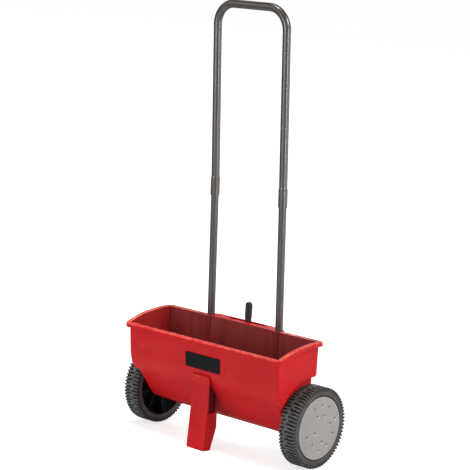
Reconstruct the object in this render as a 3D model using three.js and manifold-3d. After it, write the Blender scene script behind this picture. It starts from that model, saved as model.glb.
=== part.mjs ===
// Drop spreader for lawns: a moulded hopper over an axle, two wheels, a front foot, a dosing
// slide with its lever, and a push handle of two lower tubes and one bent upper tube.
//
// Millimetres. Inside the parked group, x runs along the axle, y towards the rear and z up,
// and all three start at the middle of the axle. The parked group is then tipped forward
// about the axle, until the foot's sole lies on the ground.

import * as THREE from 'three';
import { mergeVertices } from 'three/addons/utils/BufferGeometryUtils.js';
import Module from 'manifold-3d';

const wasm = await Module();
wasm.setup();

// Clearances and cuts
const SEAT_GAP = 0.3; // between two pieces that touch
const OVERRUN = 6; // how far a cutter runs past what it cuts

// Stance
const TRACK_HALF = 281; // tyres' outer faces from the middle
const TYRE_WIDTH = 45;
const WHEEL_R = 100;
const PARK_TILT = THREE.MathUtils.degToRad(7.6);

// Hopper walls
const WALL = 2.6;
const WHEEL_CLEAR = 4; // between a tyre and the trough's end wall
const TROUGH_HALF = TRACK_HALF - TYRE_WIDTH - WHEEL_CLEAR; // half length between the wheels
const BODY_OVERHANG = 14.5; // of the upper part, over each wheel
const BODY_HALF = TROUGH_HALF + BODY_OVERHANG;
const CORNER_R = 5; // vertical edges of both parts
const FRONT_Y = 112; // front wall, ahead of the axle
const FLARE_TOP_H = 116; // where the front wall starts to curve in
const FLARE_R = 88;
const BELLY_SLOPE = THREE.MathUtils.degToRad(58); // from the horizontal
const BELLY_R = 45; // between the belly and the trough's floor
const TROUGH_DEPTH = 23.5; // floor's underside, below the axle
const REAR_TOP_Y = 41.2; // rear wall at the rim, behind the axle
const REAR_RAKE = THREE.MathUtils.degToRad(5.44);
const REAR_R = 16; // between the rear wall and the floor
const ARCH_R = 118.5; // wheel arch, about the axle
const OVERHANG_R = 13; // between the arch and the rear wall, over each wheel

// Rim
const RIM_FRONT_H = 189.4;
const RIM_CROWN_H = 204.3; // highest point of each end, above the axle
const RIM_BACK_H = 200.7;
const RIM_CURVE = 2.6; // power of the curve that falls from the crown to the front and the back
const LIP_OUT = 9.5;
const LIP_DROP = 10.5;
const LIP_WALL = 2.4;
const LIP_ROUND = 2.2;
const LIP_STEP = 0.8; // inner half of the wall ends this far below the lip

// Lever console behind the rim
const CONSOLE_REAR_Y = 67;
const CONSOLE_DROP = 29;
const CONSOLE_CHAMFER = 13;
const SLOT_HALF = 59.5;
const SLOT_FRONT_Y = 53;

// Handle tubes
const TUBE_BASE_HALF = 112.6; // tube centre from the middle, at the rear rim's height
const TUBE_BASE_Y = 47.7;
const TUBE_JOINT_HALF = 110.4;
const TUBE_JOINT_Y = 63.1;
const JOINT_H = 550.8; // top of the sleeve
const LOWER_TUBE_R = 9.5;
const TUBE_WALL = 1.2;
const SOCKET_DEPTH = 95;
const SOCKET_WALL = 3.7;
const SOCKET_FLOOR = 3;
const SLEEVE_LENGTH = 43;
const SLEEVE_WALL = 1.5;
const SLEEVE_CONE = 4;
const UPPER_TUBE_R = 10.2;
const UPPER_LEAN = THREE.MathUtils.degToRad(1.63);
const HANDLE_TOP_H = 988; // top bar's centre line
const BEND_R = 53;

// Front foot
const FOOT_HALF = 28.4;
const FOOT_FRONT_Y = 115.4;
const FOOT_TOP_H = 78;
const FOOT_KINK_Y = 120.8;
const FOOT_KINK_H = 18.8;
const FOOT_FRONT_RAKE = THREE.MathUtils.degToRad(9.5);
const FOOT_WALL = 3;
const FOOT_SOLE_DEPTH = 24;
const FOOT_BACK_KINK_Y = 89.7;
const FOOT_BACK_KINK_H = -31;
const FOOT_BACK_Y = 86;
const FOOT_BACK_TOP_H = 37;
const FOOT_RECESS = 5; // how deep the upper part of each side is set in
const FOOT_LEDGE_H = 8;
const FOOT_PAD_LOW_H = 34;
const MOUNT_TOP_H = 102; // top of the block moulded above the foot
const MOUNT_BACK_Y = 100;

// Foot screws
const FOOT_SCREW_X = 15;
const FOOT_SCREW_H = 54;
const BOSS_R = 5.5;
const BOSS_LENGTH = 9;

// Name plate
const PLATE_LENGTH = 113;
const PLATE_HEIGHT = 38;
const PLATE_SHIFT = 5; // to the right of the hopper's middle
const PLATE_LOW_H = 115.5;
const PLATE_THICK = 1.2;
const PLATE_R = 3;

// Self-tapping screws
const SCREW_R = 2.2;
const SCREW_HEAD_R = 4.6;
const SCREW_HEAD = 2.8;
const SCREW_LENGTH = 12;
const JOINT_SCREW_LENGTH = 9;

// Axle line
const AXLE_R = 5;
const AXLE_OVERHANG = 4; // past each retainer
const BUSH_WALL = 3;
const BUSH_LENGTH = 10;
const BUSH_FLANGE_R = 13;
const BUSH_FLANGE = 2;
const BUSH_BOSS_WALL = 4;
const WASHER_R = 11;
const WASHER = 1.5;
const RETAINER_R = 9;
const RETAINER = 1.4;
const PIN_R = 2;
const DRIVE_PIN_LENGTH = 24;

// Agitator
const AGITATOR_R = 8;
const AGITATOR_END = 16; // from each trough end wall
const PADDLE_REACH = 15.5;
const PADDLE_LENGTH = 12;
const PADDLE_THICK = 2.6;
const AGITATOR_PIN_LENGTH = 15;

// Dosing outlets and slide
const OUTLET_COUNT = 15;
const OUTLET_END = 36; // last outlet's middle, from the trough's end wall
const OUTLET_PITCH = (2 * (TROUGH_HALF - OUTLET_END)) / (OUTLET_COUNT - 1);
const OUTLET_WIDTH = 7;
const OUTLET_DEPTH = 14;
const OUTLET_Y = -6;
const SLIDE_WIDTH = 22;
const SLIDE_THICK = 2;
const SLIDE_HALF = TROUGH_HALF - OUTLET_END / 2;
const RAIL_HALF = TROUGH_HALF - OUTLET_END / 4;
const RAIL_WALL = 2.5;
const RAIL_LIP = 2.5;
const RAIL_SIDE_GAP = 0.5;
const TAB_HALF = 9;
const TAB_CLEAR = 11; // rear rail's gap on each side of the tab, past its edge
const FLANGE_GAP = 1; // between the flange and the lever's foot
const FLANGE_DROP = 11; // flange top, below the axle
const DRIVE_STUD_R = 3;
const DRIVE_STUD_LENGTH = 11.5;
const LEVER_ARM = 16; // from the lever's pivot down to the drive stud
const LEVER_SWING = THREE.MathUtils.degToRad(13);

// Dosing lever
const LEVER_OFFSET = 19.6; // lever's middle, out from the rear wall
const LEVER_THICK = 6;
const LEVER_TOP = 251;
const LEVER_TOP_R = 8.4;
const LEVER_NECK_HALF = 8.2;
const LEVER_NECK_AT = 196;
const LEVER_FOOT = 24;
const LEVER_FOOT_HALF = 9;
const LEVER_HUB_R = 11;
const LEVER_BEVEL = 1;
const PIVOT_BOSS_R = 8;
const PIVOT_SHOULDER_R = 4;
const PIVOT_HEAD_R = 8;
const PIVOT_HEAD = 3;
const PIVOT_THREAD = 12;
const PIVOT_WASHER = 1;
const PIVOT_WASHER_R = 9;

// Wheels
const TYRE_SIDE_R = 79.5;
const TYRE_SIDE_WALL = 3;
const TREAD_WALL = 8.5;
const TREAD_DEPTH = 4;
const TREAD_PERIODS = 35; // each has one long and one short groove a row
const GROOVE_SHARE = 0.6; // of the pitch
const TREAD_RIB = 8; // width of the zigzag rib between the rows
const TREAD_ZIGZAG = 3.2; // how far the rib swings to each side
const RIM_BARREL = 3;
const RIM_SEAT_DROP = 3; // hub cap's seat, behind the tyre's outer face
const RIM_SEAT_WIDTH = 8;
const RIM_WEB = 3;
const RIM_WEB_DEPTH = 9; // web's outer face, behind the tyre's outer face
const RIM_DISH = 5;
const RIM_RIBS = 8;
const RIB_TURN = 1 / 6; // of the ribs' spacing, which centres each on a flat of the barrel
const RIM_RIB_THICK = 3;
const RIM_RIB_LOW = 13; // ribs end this far inside the tyre's inner face
const HUB_WALL = 7;
const HUB_OUTER_DEPTH = 8; // hub's outer end, behind the tyre's outer face
const CAP_R = 77.5;
const CAP_PROUD = 1.2;
const CAP_DOME = 2.6;
const CAP_WALL = 2.2;
const CAP_EDGE_R = 1.6;
const CAP_SPIGOT = 2;
const CAP_SPIGOT_REACH = 5;
const DIMPLE_DEPTH = 1.4;
const DIMPLE_R = 3.6;
// Dimples on a hub cap: share of its radius, and angle in degrees from the rear towards the top
const DIMPLE_SHARES = [
  [0.73, 77], [0.75, 51], [0.72, 109], [0.78, 11], [0.71, -26], [0.7, -61], [0.71, -96],
  [0.58, -128], [0.64, -167], [0.42, 103], [0.43, 58], [0.5, 6], [0.46, -79], [0.26, -157],
];

// Facets around a circle, and steps along an arc
const SIDES_TUBE = 16;
const SIDES_BORE = 10;
const SIDES_SMALL = 8;
const SIDES_ARCH = 32;
const SIDES_CAP = 28;
const SIDES_RIM = 24;
const SIDES_DIMPLE = 6;
const STEPS_BEND = 5;
const STEPS_CORNER = 2;
const STEPS_END = 5;
const STEPS_FLARE = 2;
const STEPS_ARC = 3;
const STEPS_DOME = 2;

const X_AXIS = new THREE.Vector3(1, 0, 0);
const Y_AXIS = new THREE.Vector3(0, 1, 0);
const Z_AXIS = new THREE.Vector3(0, 0, 1);

// Turns a three.js geometry into a solid, with its faces pointing out
function solid(geometry) {
  const bare = geometry.clone();
  for (const name of Object.keys(bare.attributes)) {
    if (name !== 'position') bare.deleteAttribute(name);
  }
  const merged = mergeVertices(bare);
  const position = merged.getAttribute('position');
  const corners = [0, 1, 2].map(() => new THREE.Vector3());
  const faces = [];
  let volume = 0;
  for (let i = 0; i < merged.index.count; i += 3) {
    const face = [0, 1, 2].map((k) => merged.index.getX(i + k));
    if (new Set(face).size < face.length) continue;
    corners.forEach((corner, k) => corner.fromBufferAttribute(position, face[k]));
    volume += corners[0].dot(corners[1].clone().cross(corners[2]));
    faces.push(face);
  }
  if (volume < 0) faces.forEach((face) => face.reverse());
  const vertProperties = new Float32Array(position.array);
  const triVerts = new Uint32Array(faces.flat());
  return new wasm.Manifold(new wasm.Mesh({ numProp: 3, vertProperties, triVerts }));
}

function geometryOf(body) {
  const mesh = body.getMesh();
  const geometry = new THREE.BufferGeometry();
  geometry.setAttribute('position', new THREE.BufferAttribute(mesh.vertProperties, 3));
  geometry.setIndex(new THREE.BufferAttribute(mesh.triVerts, 1));
  geometry.computeVertexNormals();
  return geometry;
}

const mirrored = (body) => solid(geometryOf(body).scale(-1, 1, 1));
const join = (bodies) => bodies.reduce((sum, body) => sum.add(body));
const cut = (body, cutters) => cutters.reduce((rest, cutter) => rest.subtract(cutter), body);

// A radius whose flats, not corners, lie at r
const acrossFlats = (r, sides) => r / Math.cos(Math.PI / sides);

function circle(r) {
  return Array.from({ length: SIDES_BORE }, (_, k) => {
    const angle = (k / SIDES_BORE) * 2 * Math.PI;
    return new THREE.Vector2(r * Math.cos(angle), r * Math.sin(angle));
  });
}

// An outline in [y, z] points, extruded along x from x0 to x1
function alongX(points, x0, x1) {
  const shape = new THREE.Shape(points.map(([y, z]) => new THREE.Vector2(y, z)));
  const geometry = new THREE.ExtrudeGeometry(shape, { depth: x1 - x0, bevelEnabled: false });
  geometry.applyMatrix4(new THREE.Matrix4().makeBasis(Y_AXIS, Z_AXIS, X_AXIS));
  return geometry.translate(x0, 0, 0);
}

// An outline in [x, y] points, extruded upwards from z0 to z1
function upwards(points, z0, z1) {
  const shape = new THREE.Shape(points.map(([x, y]) => new THREE.Vector2(x, y)));
  const geometry = new THREE.ExtrudeGeometry(shape, { depth: z1 - z0, bevelEnabled: false });
  return geometry.translate(0, 0, z0);
}

function box(x0, x1, y0, y1, z0, z1) {
  const geometry = new THREE.BoxGeometry(x1 - x0, y1 - y0, z1 - z0);
  return geometry.translate((x0 + x1) / 2, (y0 + y1) / 2, (z0 + z1) / 2);
}

// A profile of [distance along the axis, radius] points, turned about the z axis
function turned(profile, sides) {
  const points = profile.map(([along, r]) => new THREE.Vector2(r, along));
  points.push(points[0].clone());
  return new THREE.LatheGeometry(points, sides).rotateX(Math.PI / 2);
}

const turnedAboutX = (profile, sides) => turned(profile, sides).rotateY(Math.PI / 2);

function rod(r, from, to, sides) {
  const profile = [[from, 0], [from, r], [to, r], [to, 0]];
  return turned(profile, sides);
}

function pipe(outer, inner, from, to, sides) {
  return turned([[from, inner], [from, outer], [to, outer], [to, inner]], sides);
}

// Moves a piece made along +z to an origin, with its +z along a direction
function placed(geometry, origin, direction) {
  const turn = new THREE.Quaternion().setFromUnitVectors(Z_AXIS, direction);
  return geometry.applyQuaternion(turn).translate(origin.x, origin.y, origin.z);
}

// Joins rings of points into a skin, with a flat cap on each end unless it closes on itself
function loft(rings, closesOnItself = false) {
  const count = rings[0].length;
  const index = [];
  const spans = closesOnItself ? rings.length : rings.length - 1;
  for (let j = 0; j < spans; j += 1) {
    const low = j * count;
    const high = ((j + 1) % rings.length) * count;
    for (let i = 0; i < count; i += 1) {
      const next = (i + 1) % count;
      index.push(low + i, low + next, high + next, low + i, high + next, high + i);
    }
  }
  if (!closesOnItself) {
    const last = (rings.length - 1) * count;
    for (let i = 1; i < count - 1; i += 1) {
      index.push(0, i + 1, i, last, last + i, last + i + 1);
    }
  }
  const geometry = new THREE.BufferGeometry().setFromPoints(rings.flat());
  geometry.setIndex(index);
  return geometry;
}

// The hopper's walls in side view. A positive inset moves every wall inwards.

const slopeNormal = { y: Math.sin(BELLY_SLOPE), h: Math.cos(BELLY_SLOPE) };
const flare = { y: FLARE_R - FRONT_Y, h: FLARE_TOP_H };
const belly = bellyCentre();
const rearFoot = rearFootCentre();

function slopePoint(centre, r) {
  return { y: centre.y - r * slopeNormal.y, h: centre.h - r * slopeNormal.h };
}

function bellyCentre() {
  const start = slopePoint(flare, FLARE_R);
  const h = BELLY_R - TROUGH_DEPTH;
  const down = (start.h - h + BELLY_R * slopeNormal.h) / slopeNormal.y;
  return { y: start.y + down * slopeNormal.h + BELLY_R * slopeNormal.y, h };
}

function rearFootCentre() {
  const h = REAR_R - TROUGH_DEPTH;
  const wall = REAR_TOP_Y + (h - RIM_BACK_H) * Math.tan(REAR_RAKE);
  return { y: wall - REAR_R / Math.cos(REAR_RAKE), h };
}

function frontY(h, inset) {
  const upper = slopePoint(flare, FLARE_R - inset);
  const lower = slopePoint(belly, BELLY_R - inset);
  if (h >= flare.h) return flare.y - (FLARE_R - inset);
  if (h >= upper.h) return flare.y - Math.sqrt((FLARE_R - inset) ** 2 - (flare.h - h) ** 2);
  if (h >= lower.h) return upper.y + (upper.h - h) / Math.tan(BELLY_SLOPE);
  return belly.y - Math.sqrt(Math.max((BELLY_R - inset) ** 2 - (belly.h - h) ** 2, 0));
}

function rearY(h, inset) {
  const r = REAR_R - inset;
  if (h >= rearFoot.h - r * Math.sin(REAR_RAKE)) {
    return rearFoot.y + r / Math.cos(REAR_RAKE) + (h - rearFoot.h) * Math.tan(REAR_RAKE);
  }
  return rearFoot.y + Math.sqrt(Math.max(r ** 2 - (rearFoot.h - h) ** 2, 0));
}

function rimTop(y) {
  const share = y < 0 ? -y / FRONT_Y : y / REAR_TOP_Y;
  const edge = y < 0 ? RIM_FRONT_H : RIM_BACK_H;
  return RIM_CROWN_H - (RIM_CROWN_H - edge) * Math.min(share, 1) ** RIM_CURVE;
}

// Levels at which the side view bends, from the top down
function bodyLevels(top, inset) {
  const levels = [top];
  for (let k = 0; k <= STEPS_FLARE; k += 1) {
    const angle = (k / STEPS_FLARE) * (Math.PI / 2 - BELLY_SLOPE);
    levels.push(flare.h - (FLARE_R - inset) * Math.sin(angle));
  }
  levels.push(slopePoint(belly, BELLY_R - inset).h);
  for (let k = 0; k <= STEPS_ARC; k += 1) {
    const angle = REAR_RAKE + (k / STEPS_ARC) * (Math.PI / 2 - REAR_RAKE);
    levels.push(rearFoot.h - (REAR_R - inset) * Math.sin(angle));
  }
  return levels.filter((level, i) => i === 0 || level < top);
}

// A rectangle with round corners, seen from above, as a ring of points at height h
function plan(half, front, rear, r, h, endSteps = 1) {
  const corners = [
    [half - r, front + r, -Math.PI / 2],
    [half - r, rear - r, 0],
    [r - half, rear - r, Math.PI / 2],
    [r - half, front + r, Math.PI],
  ];
  const ring = [];
  corners.forEach(([x, y, start], c) => {
    for (let k = 0; k <= STEPS_CORNER; k += 1) {
      const angle = start + (k / STEPS_CORNER) * (Math.PI / 2);
      ring.push(new THREE.Vector3(x + r * Math.cos(angle), y + r * Math.sin(angle), h));
    }
    if (c % 2 === 1) return;
    const from = ring[ring.length - 1];
    const to = corners[c + 1];
    for (let k = 1; k < endSteps; k += 1) {
      const y2 = THREE.MathUtils.lerp(from.y, to[1], k / endSteps);
      ring.push(new THREE.Vector3(from.x, y2, h));
    }
  });
  return ring;
}

function hopperLoft(half, inset, top) {
  const rings = bodyLevels(top, inset).map((h) => {
    return plan(half - inset, frontY(h, inset), rearY(h, inset), CORNER_R - inset, h);
  });
  return loft(rings);
}

// Both ends of a cylinder about the axle, outside the trough's length
function archCutters(r, inner) {
  const outer = BODY_HALF + OVERRUN;
  const profile = [[inner, 0], [inner, r], [outer, r], [outer, 0]];
  const one = solid(turnedAboutX(profile, SIDES_ARCH));
  return [one, mirrored(one)];
}

// Where the round between the arch and the rear wall has its middle
function overhangCentre(inset) {
  const r = OVERHANG_R - inset;
  const lean = Math.tan(REAR_RAKE);
  const start = rearY(0, inset) - r / Math.cos(REAR_RAKE);
  const square = 1 + lean ** 2;
  const root = (start * lean) ** 2 - square * (start ** 2 - (ARCH_R + OVERHANG_R) ** 2);
  const h = (Math.sqrt(root) - start * lean) / square;
  return { y: start + h * lean, h, r };
}

// What lies outside that round, over each wheel
function overhangCutters(inset, inner) {
  const { y, h, r } = overhangCentre(inset);
  const low = Math.atan2(-h, -y);
  const points = Array.from({ length: STEPS_ARC + 1 }, (_, k) => {
    const angle = THREE.MathUtils.lerp(low, -REAR_RAKE, k / STEPS_ARC);
    return [y + r * Math.cos(angle), h + r * Math.sin(angle)];
  });
  const [start] = points;
  const rear = points[STEPS_ARC][0] + OVERRUN;
  const floor = start[1] - OVERRUN;
  points.push([rear, points[STEPS_ARC][1]], [rear, floor], [start[0], floor]);
  const one = solid(alongX(points, inner, BODY_HALF + OVERRUN));
  return [one, mirrored(one)];
}

// The hopper's space without its details: walls at an inset, with the wheel arches cut away
function hopperSpace(inset, top) {
  const inner = TROUGH_HALF - CORNER_R - Math.max(inset, 0);
  const cutters = [...archCutters(ARCH_R + inset, inner), ...overhangCutters(inset, inner)];
  const wide = cut(solid(hopperLoft(BODY_HALF, inset, top)), cutters);
  return wide.add(solid(hopperLoft(TROUGH_HALF, inset, ARCH_R + OVERRUN)));
}

// The region below the rim's curved top
function belowRim(drop) {
  const steps = 2 * STEPS_END;
  const front = -FRONT_Y - LIP_OUT - OVERRUN;
  const rear = REAR_TOP_Y + LIP_OUT + OVERRUN;
  const low = -TROUGH_DEPTH - OVERRUN;
  const points = [[front, low], [front, RIM_FRONT_H - drop]];
  for (let k = 0; k <= steps; k += 1) {
    const y = THREE.MathUtils.lerp(-FRONT_Y, REAR_TOP_Y, k / steps);
    points.push([y, rimTop(y) - drop]);
  }
  points.push([rear, RIM_BACK_H - drop], [rear, low]);
  return solid(alongX(points, -BODY_HALF - OVERRUN, BODY_HALF + OVERRUN));
}

// The rolled lip: one section swept round the top of the walls
function rimLip() {
  const section = [
    [-WALL / 2, -LIP_DROP / 2],
    [-WALL / 2, 0],
    [LIP_OUT - LIP_ROUND, 0],
    [LIP_OUT, -LIP_ROUND],
    [LIP_OUT, -LIP_DROP],
    [LIP_OUT - LIP_WALL, -LIP_DROP],
    [LIP_OUT - LIP_WALL, -LIP_WALL],
    [-WALL / 4, -LIP_WALL],
    [-WALL / 4, -LIP_DROP / 2],
  ];
  const track = plan(BODY_HALF, -FRONT_Y, REAR_TOP_Y, CORNER_R, 0, STEPS_END);
  const rings = section.map(([out, drop]) => {
    const r = CORNER_R + out;
    const ring = plan(BODY_HALF + out, -FRONT_Y - out, REAR_TOP_Y + out, r, 0, STEPS_END);
    ring.forEach((point, i) => point.setZ(rimTop(track[i].y) + drop));
    return ring;
  });
  return solid(loft(rings, true));
}

// Handle tubes: where each lower tube's axis meets the rim's height, and its direction
function tubeAxis(side) {
  const base = new THREE.Vector3(side * TUBE_BASE_HALF, TUBE_BASE_Y, RIM_BACK_H);
  const joint = new THREE.Vector3(side * TUBE_JOINT_HALF, TUBE_JOINT_Y, JOINT_H);
  const along = joint.clone().sub(base).normalize();
  const back = Y_AXIS.clone().addScaledVector(along, -along.y).normalize();
  return { base, joint, along, back, length: joint.distanceTo(base) };
}

const pointOn = (axis, distance) => axis.base.clone().addScaledVector(axis.along, distance);

function socketBoss(side) {
  const axis = tubeAxis(side);
  const r = LOWER_TUBE_R + SEAT_GAP + SOCKET_WALL;
  const low = -SOCKET_DEPTH - SOCKET_FLOOR;
  const boss = solid(placed(rod(r, low, OVERRUN, SIDES_TUBE), axis.base, axis.along));
  const reach = 2 * BODY_HALF;
  const above = box(-reach, reach, -reach, reach, RIM_BACK_H, RIM_BACK_H + reach);
  return boss.subtract(solid(above));
}

function socketBore(side) {
  const axis = tubeAxis(side);
  const r = acrossFlats(LOWER_TUBE_R + SEAT_GAP, SIDES_TUBE);
  return solid(placed(rod(r, -SOCKET_DEPTH, OVERRUN, SIDES_TUBE), axis.base, axis.along));
}

// Screws that hold a tube from behind: where the shank enters, and its direction
function tubeScrewSeat(side, distance, surfaceR) {
  const axis = tubeAxis(side);
  const origin = pointOn(axis, distance).addScaledVector(axis.back, surfaceR + SEAT_GAP);
  return { origin, out: axis.back };
}

const socketScrewSeat = (side) => {
  const r = LOWER_TUBE_R + SEAT_GAP + SOCKET_WALL;
  return tubeScrewSeat(side, -SOCKET_DEPTH / 2, r);
};

const jointScrewSeat = (side) => {
  const distance = tubeAxis(side).length - SLEEVE_LENGTH / 2;
  return tubeScrewSeat(side, distance, LOWER_TUBE_R + SEAT_GAP + SLEEVE_WALL);
};

const SCREW_HOLE_R = acrossFlats(SCREW_R + SEAT_GAP, SIDES_SMALL);

function screwHole(seat, length) {
  const hole = rod(SCREW_HOLE_R, -length - 2 * SEAT_GAP, OVERRUN, SIDES_SMALL);
  return solid(placed(hole, seat.origin, seat.out));
}

// Foot screws go in square to the belly, through the foot's pad
function footScrewSeat(side) {
  const upper = slopePoint(flare, FLARE_R);
  const y = upper.y + (upper.h - FOOT_SCREW_H) / Math.tan(BELLY_SLOPE);
  const out = new THREE.Vector3(0, -slopeNormal.y, -slopeNormal.h);
  const origin = new THREE.Vector3(side * FOOT_SCREW_X, y, FOOT_SCREW_H);
  return { surface: origin.clone(), origin: origin.addScaledVector(out, FOOT_WALL + 2 * SEAT_GAP), out };
}

function footScrewBoss(side) {
  const seat = footScrewSeat(side);
  const boss = rod(BOSS_R, -WALL - BOSS_LENGTH, -WALL / 2, SIDES_SMALL);
  return solid(placed(boss, seat.surface, seat.out));
}

// The console behind the rear rim, with the slot that the lever swings in
function leverConsole() {
  const half = TUBE_BASE_HALF;
  const flat = half - CONSOLE_CHAMFER;
  const side = CONSOLE_REAR_Y - CONSOLE_CHAMFER / 2;
  const outline = (inset, front) => [
    [inset - half, front],
    [half - inset, front],
    [half - inset, side - inset],
    [flat - inset, CONSOLE_REAR_Y - inset],
    [inset - flat, CONSOLE_REAR_Y - inset],
    [inset - half, side - inset],
  ];
  const low = RIM_BACK_H - CONSOLE_DROP;
  const front = rearY(RIM_BACK_H, WALL / 2);
  const shell = solid(upwards(outline(0, front), low, RIM_BACK_H));
  const under = rearY(low, 0) + SEAT_GAP;
  const hollow = solid(upwards(outline(WALL, under), low - OVERRUN, RIM_BACK_H - WALL));
  const rear = CONSOLE_REAR_Y - WALL;
  const slot = box(-SLOT_HALF, SLOT_HALF, SLOT_FRONT_Y, rear, low, RIM_BACK_H + OVERRUN);
  return { shell, cutters: [hollow, solid(slot)] };
}

// The lever's pivot stands square to the rear wall, and its middle is at the axle's height
const PIVOT_FOOT_H = LEVER_OFFSET * Math.sin(REAR_RAKE);
const wallOut = new THREE.Vector3(0, Math.cos(REAR_RAKE), -Math.sin(REAR_RAKE));
const pivotOnWall = new THREE.Vector3(0, rearY(PIVOT_FOOT_H, 0), PIVOT_FOOT_H);
const pivot = pivotOnWall.clone().addScaledVector(wallOut, LEVER_OFFSET);
const BOSS_FACE = LEVER_OFFSET - LEVER_THICK / 2 - SEAT_GAP;

function pivotBoss() {
  const boss = rod(PIVOT_BOSS_R, -WALL / 2, BOSS_FACE, SIDES_SMALL);
  return solid(placed(boss, pivotOnWall, wallOut));
}

function pivotHole() {
  const hole = rod(SCREW_HOLE_R, BOSS_FACE - PIVOT_THREAD - SEAT_GAP, BOSS_FACE + OVERRUN, SIDES_SMALL);
  return solid(placed(hole, pivotOnWall, wallOut));
}

// Boss for an axle bush, inside the trough's end wall
function bushBoss(side) {
  const r = AXLE_R + SEAT_GAP + BUSH_WALL + SEAT_GAP + BUSH_BOSS_WALL;
  const from = TROUGH_HALF - BUSH_LENGTH;
  const profile = [[from, 0], [from, r], [TROUGH_HALF - WALL / 2, r], [TROUGH_HALF - WALL / 2, 0]];
  const boss = solid(turnedAboutX(profile, SIDES_TUBE));
  return side > 0 ? boss : mirrored(boss);
}

function bushHole() {
  const r = acrossFlats(AXLE_R + SEAT_GAP + BUSH_WALL + SEAT_GAP, SIDES_BORE);
  const reach = TROUGH_HALF + OVERRUN;
  return solid(turnedAboutX([[-reach, 0], [-reach, r], [reach, r], [reach, 0]], SIDES_BORE));
}

// Guide rails under the trough, one in front of the slide and two behind it
const FLOOR_H = -TROUGH_DEPTH;
const SLIDE_TOP_H = FLOOR_H - SEAT_GAP;
const SLIDE_LOW_H = SLIDE_TOP_H - SLIDE_THICK;
const SLIDE_FRONT_Y = OUTLET_Y - SLIDE_WIDTH / 2;
const SLIDE_REAR_Y = OUTLET_Y + SLIDE_WIDTH / 2;

function guideRails() {
  const lipTop = SLIDE_LOW_H - SEAT_GAP;
  const low = lipTop - RAIL_WALL;
  const high = FLOOR_H + WALL / 2;
  const rail = (edge, away) => {
    const inner = edge + away * RAIL_SIDE_GAP;
    const outer = inner + away * RAIL_WALL;
    const tip = edge - away * RAIL_LIP;
    return [[inner, high], [outer, high], [outer, low], [tip, low], [tip, lipTop], [inner, lipTop]];
  };
  const tabSide = TAB_HALF + TAB_CLEAR;
  return [
    solid(alongX(rail(SLIDE_FRONT_Y, -1), -RAIL_HALF, RAIL_HALF)),
    solid(alongX(rail(SLIDE_REAR_Y, 1), tabSide, RAIL_HALF)),
    solid(alongX(rail(SLIDE_REAR_Y, 1), -RAIL_HALF, -tabSide)),
  ];
}

const outletX = (i) => (i - (OUTLET_COUNT - 1) / 2) * OUTLET_PITCH;

function outletCutters(shift, z0, z1) {
  const y0 = OUTLET_Y - OUTLET_DEPTH / 2;
  const y1 = OUTLET_Y + OUTLET_DEPTH / 2;
  return Array.from({ length: OUTLET_COUNT }, (_, i) => {
    const x0 = outletX(i) - OUTLET_WIDTH / 2 + shift;
    return solid(box(x0, x0 + OUTLET_WIDTH, y0, y1, z0, z1));
  });
}

// The block moulded above the foot, which the foot butts against
function footMount() {
  const low = FOOT_TOP_H + SEAT_GAP;
  return solid(box(-FOOT_HALF, FOOT_HALF, -FOOT_FRONT_Y, -MOUNT_BACK_Y, low, MOUNT_TOP_H));
}

function hopper() {
  const sides = [-1, 1];
  const walls = hopperSpace(0, RIM_CROWN_H + OVERRUN).intersect(belowRim(LIP_STEP));
  const sockets = sides.map(socketBoss);
  const inner = [...sides.map(bushBoss), ...sides.map(footScrewBoss)];
  const console = leverConsole();
  const cavity = cut(hopperSpace(WALL, RIM_CROWN_H + OVERRUN), [...sockets, ...inner]);
  const shell = join([walls, rimLip(), footMount()]).subtract(cavity);
  const rear = cut(console.shell, [...console.cutters, cavity]);
  const whole = join([shell, rear, ...sockets, ...inner, pivotBoss(), ...guideRails()]);
  const outlets = outletCutters(0, FLOOR_H - WALL / 2, FLOOR_H + 2 * WALL);
  const bores = [...sides.map(socketBore), bushHole(), pivotHole(), ...outlets];
  const screws = sides.flatMap((side) => [
    screwHole(socketScrewSeat(side), SCREW_LENGTH),
    screwHole(footScrewSeat(side), SCREW_LENGTH),
  ]);
  return cut(whole, [...bores, ...screws]);
}

// The ground's height at a place y, in the parked group
function groundH(y) {
  return -(WHEEL_R + y * Math.sin(PARK_TILT)) / Math.cos(PARK_TILT);
}

// Where a line from a point, raked by an angle, meets the ground raised by lift
function lineToGround(y, h, rake, lift) {
  const fall = (h - groundH(y) - lift) / (1 + Math.tan(rake) * Math.tan(PARK_TILT));
  return [y - fall * Math.tan(rake), h - fall];
}

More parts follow.
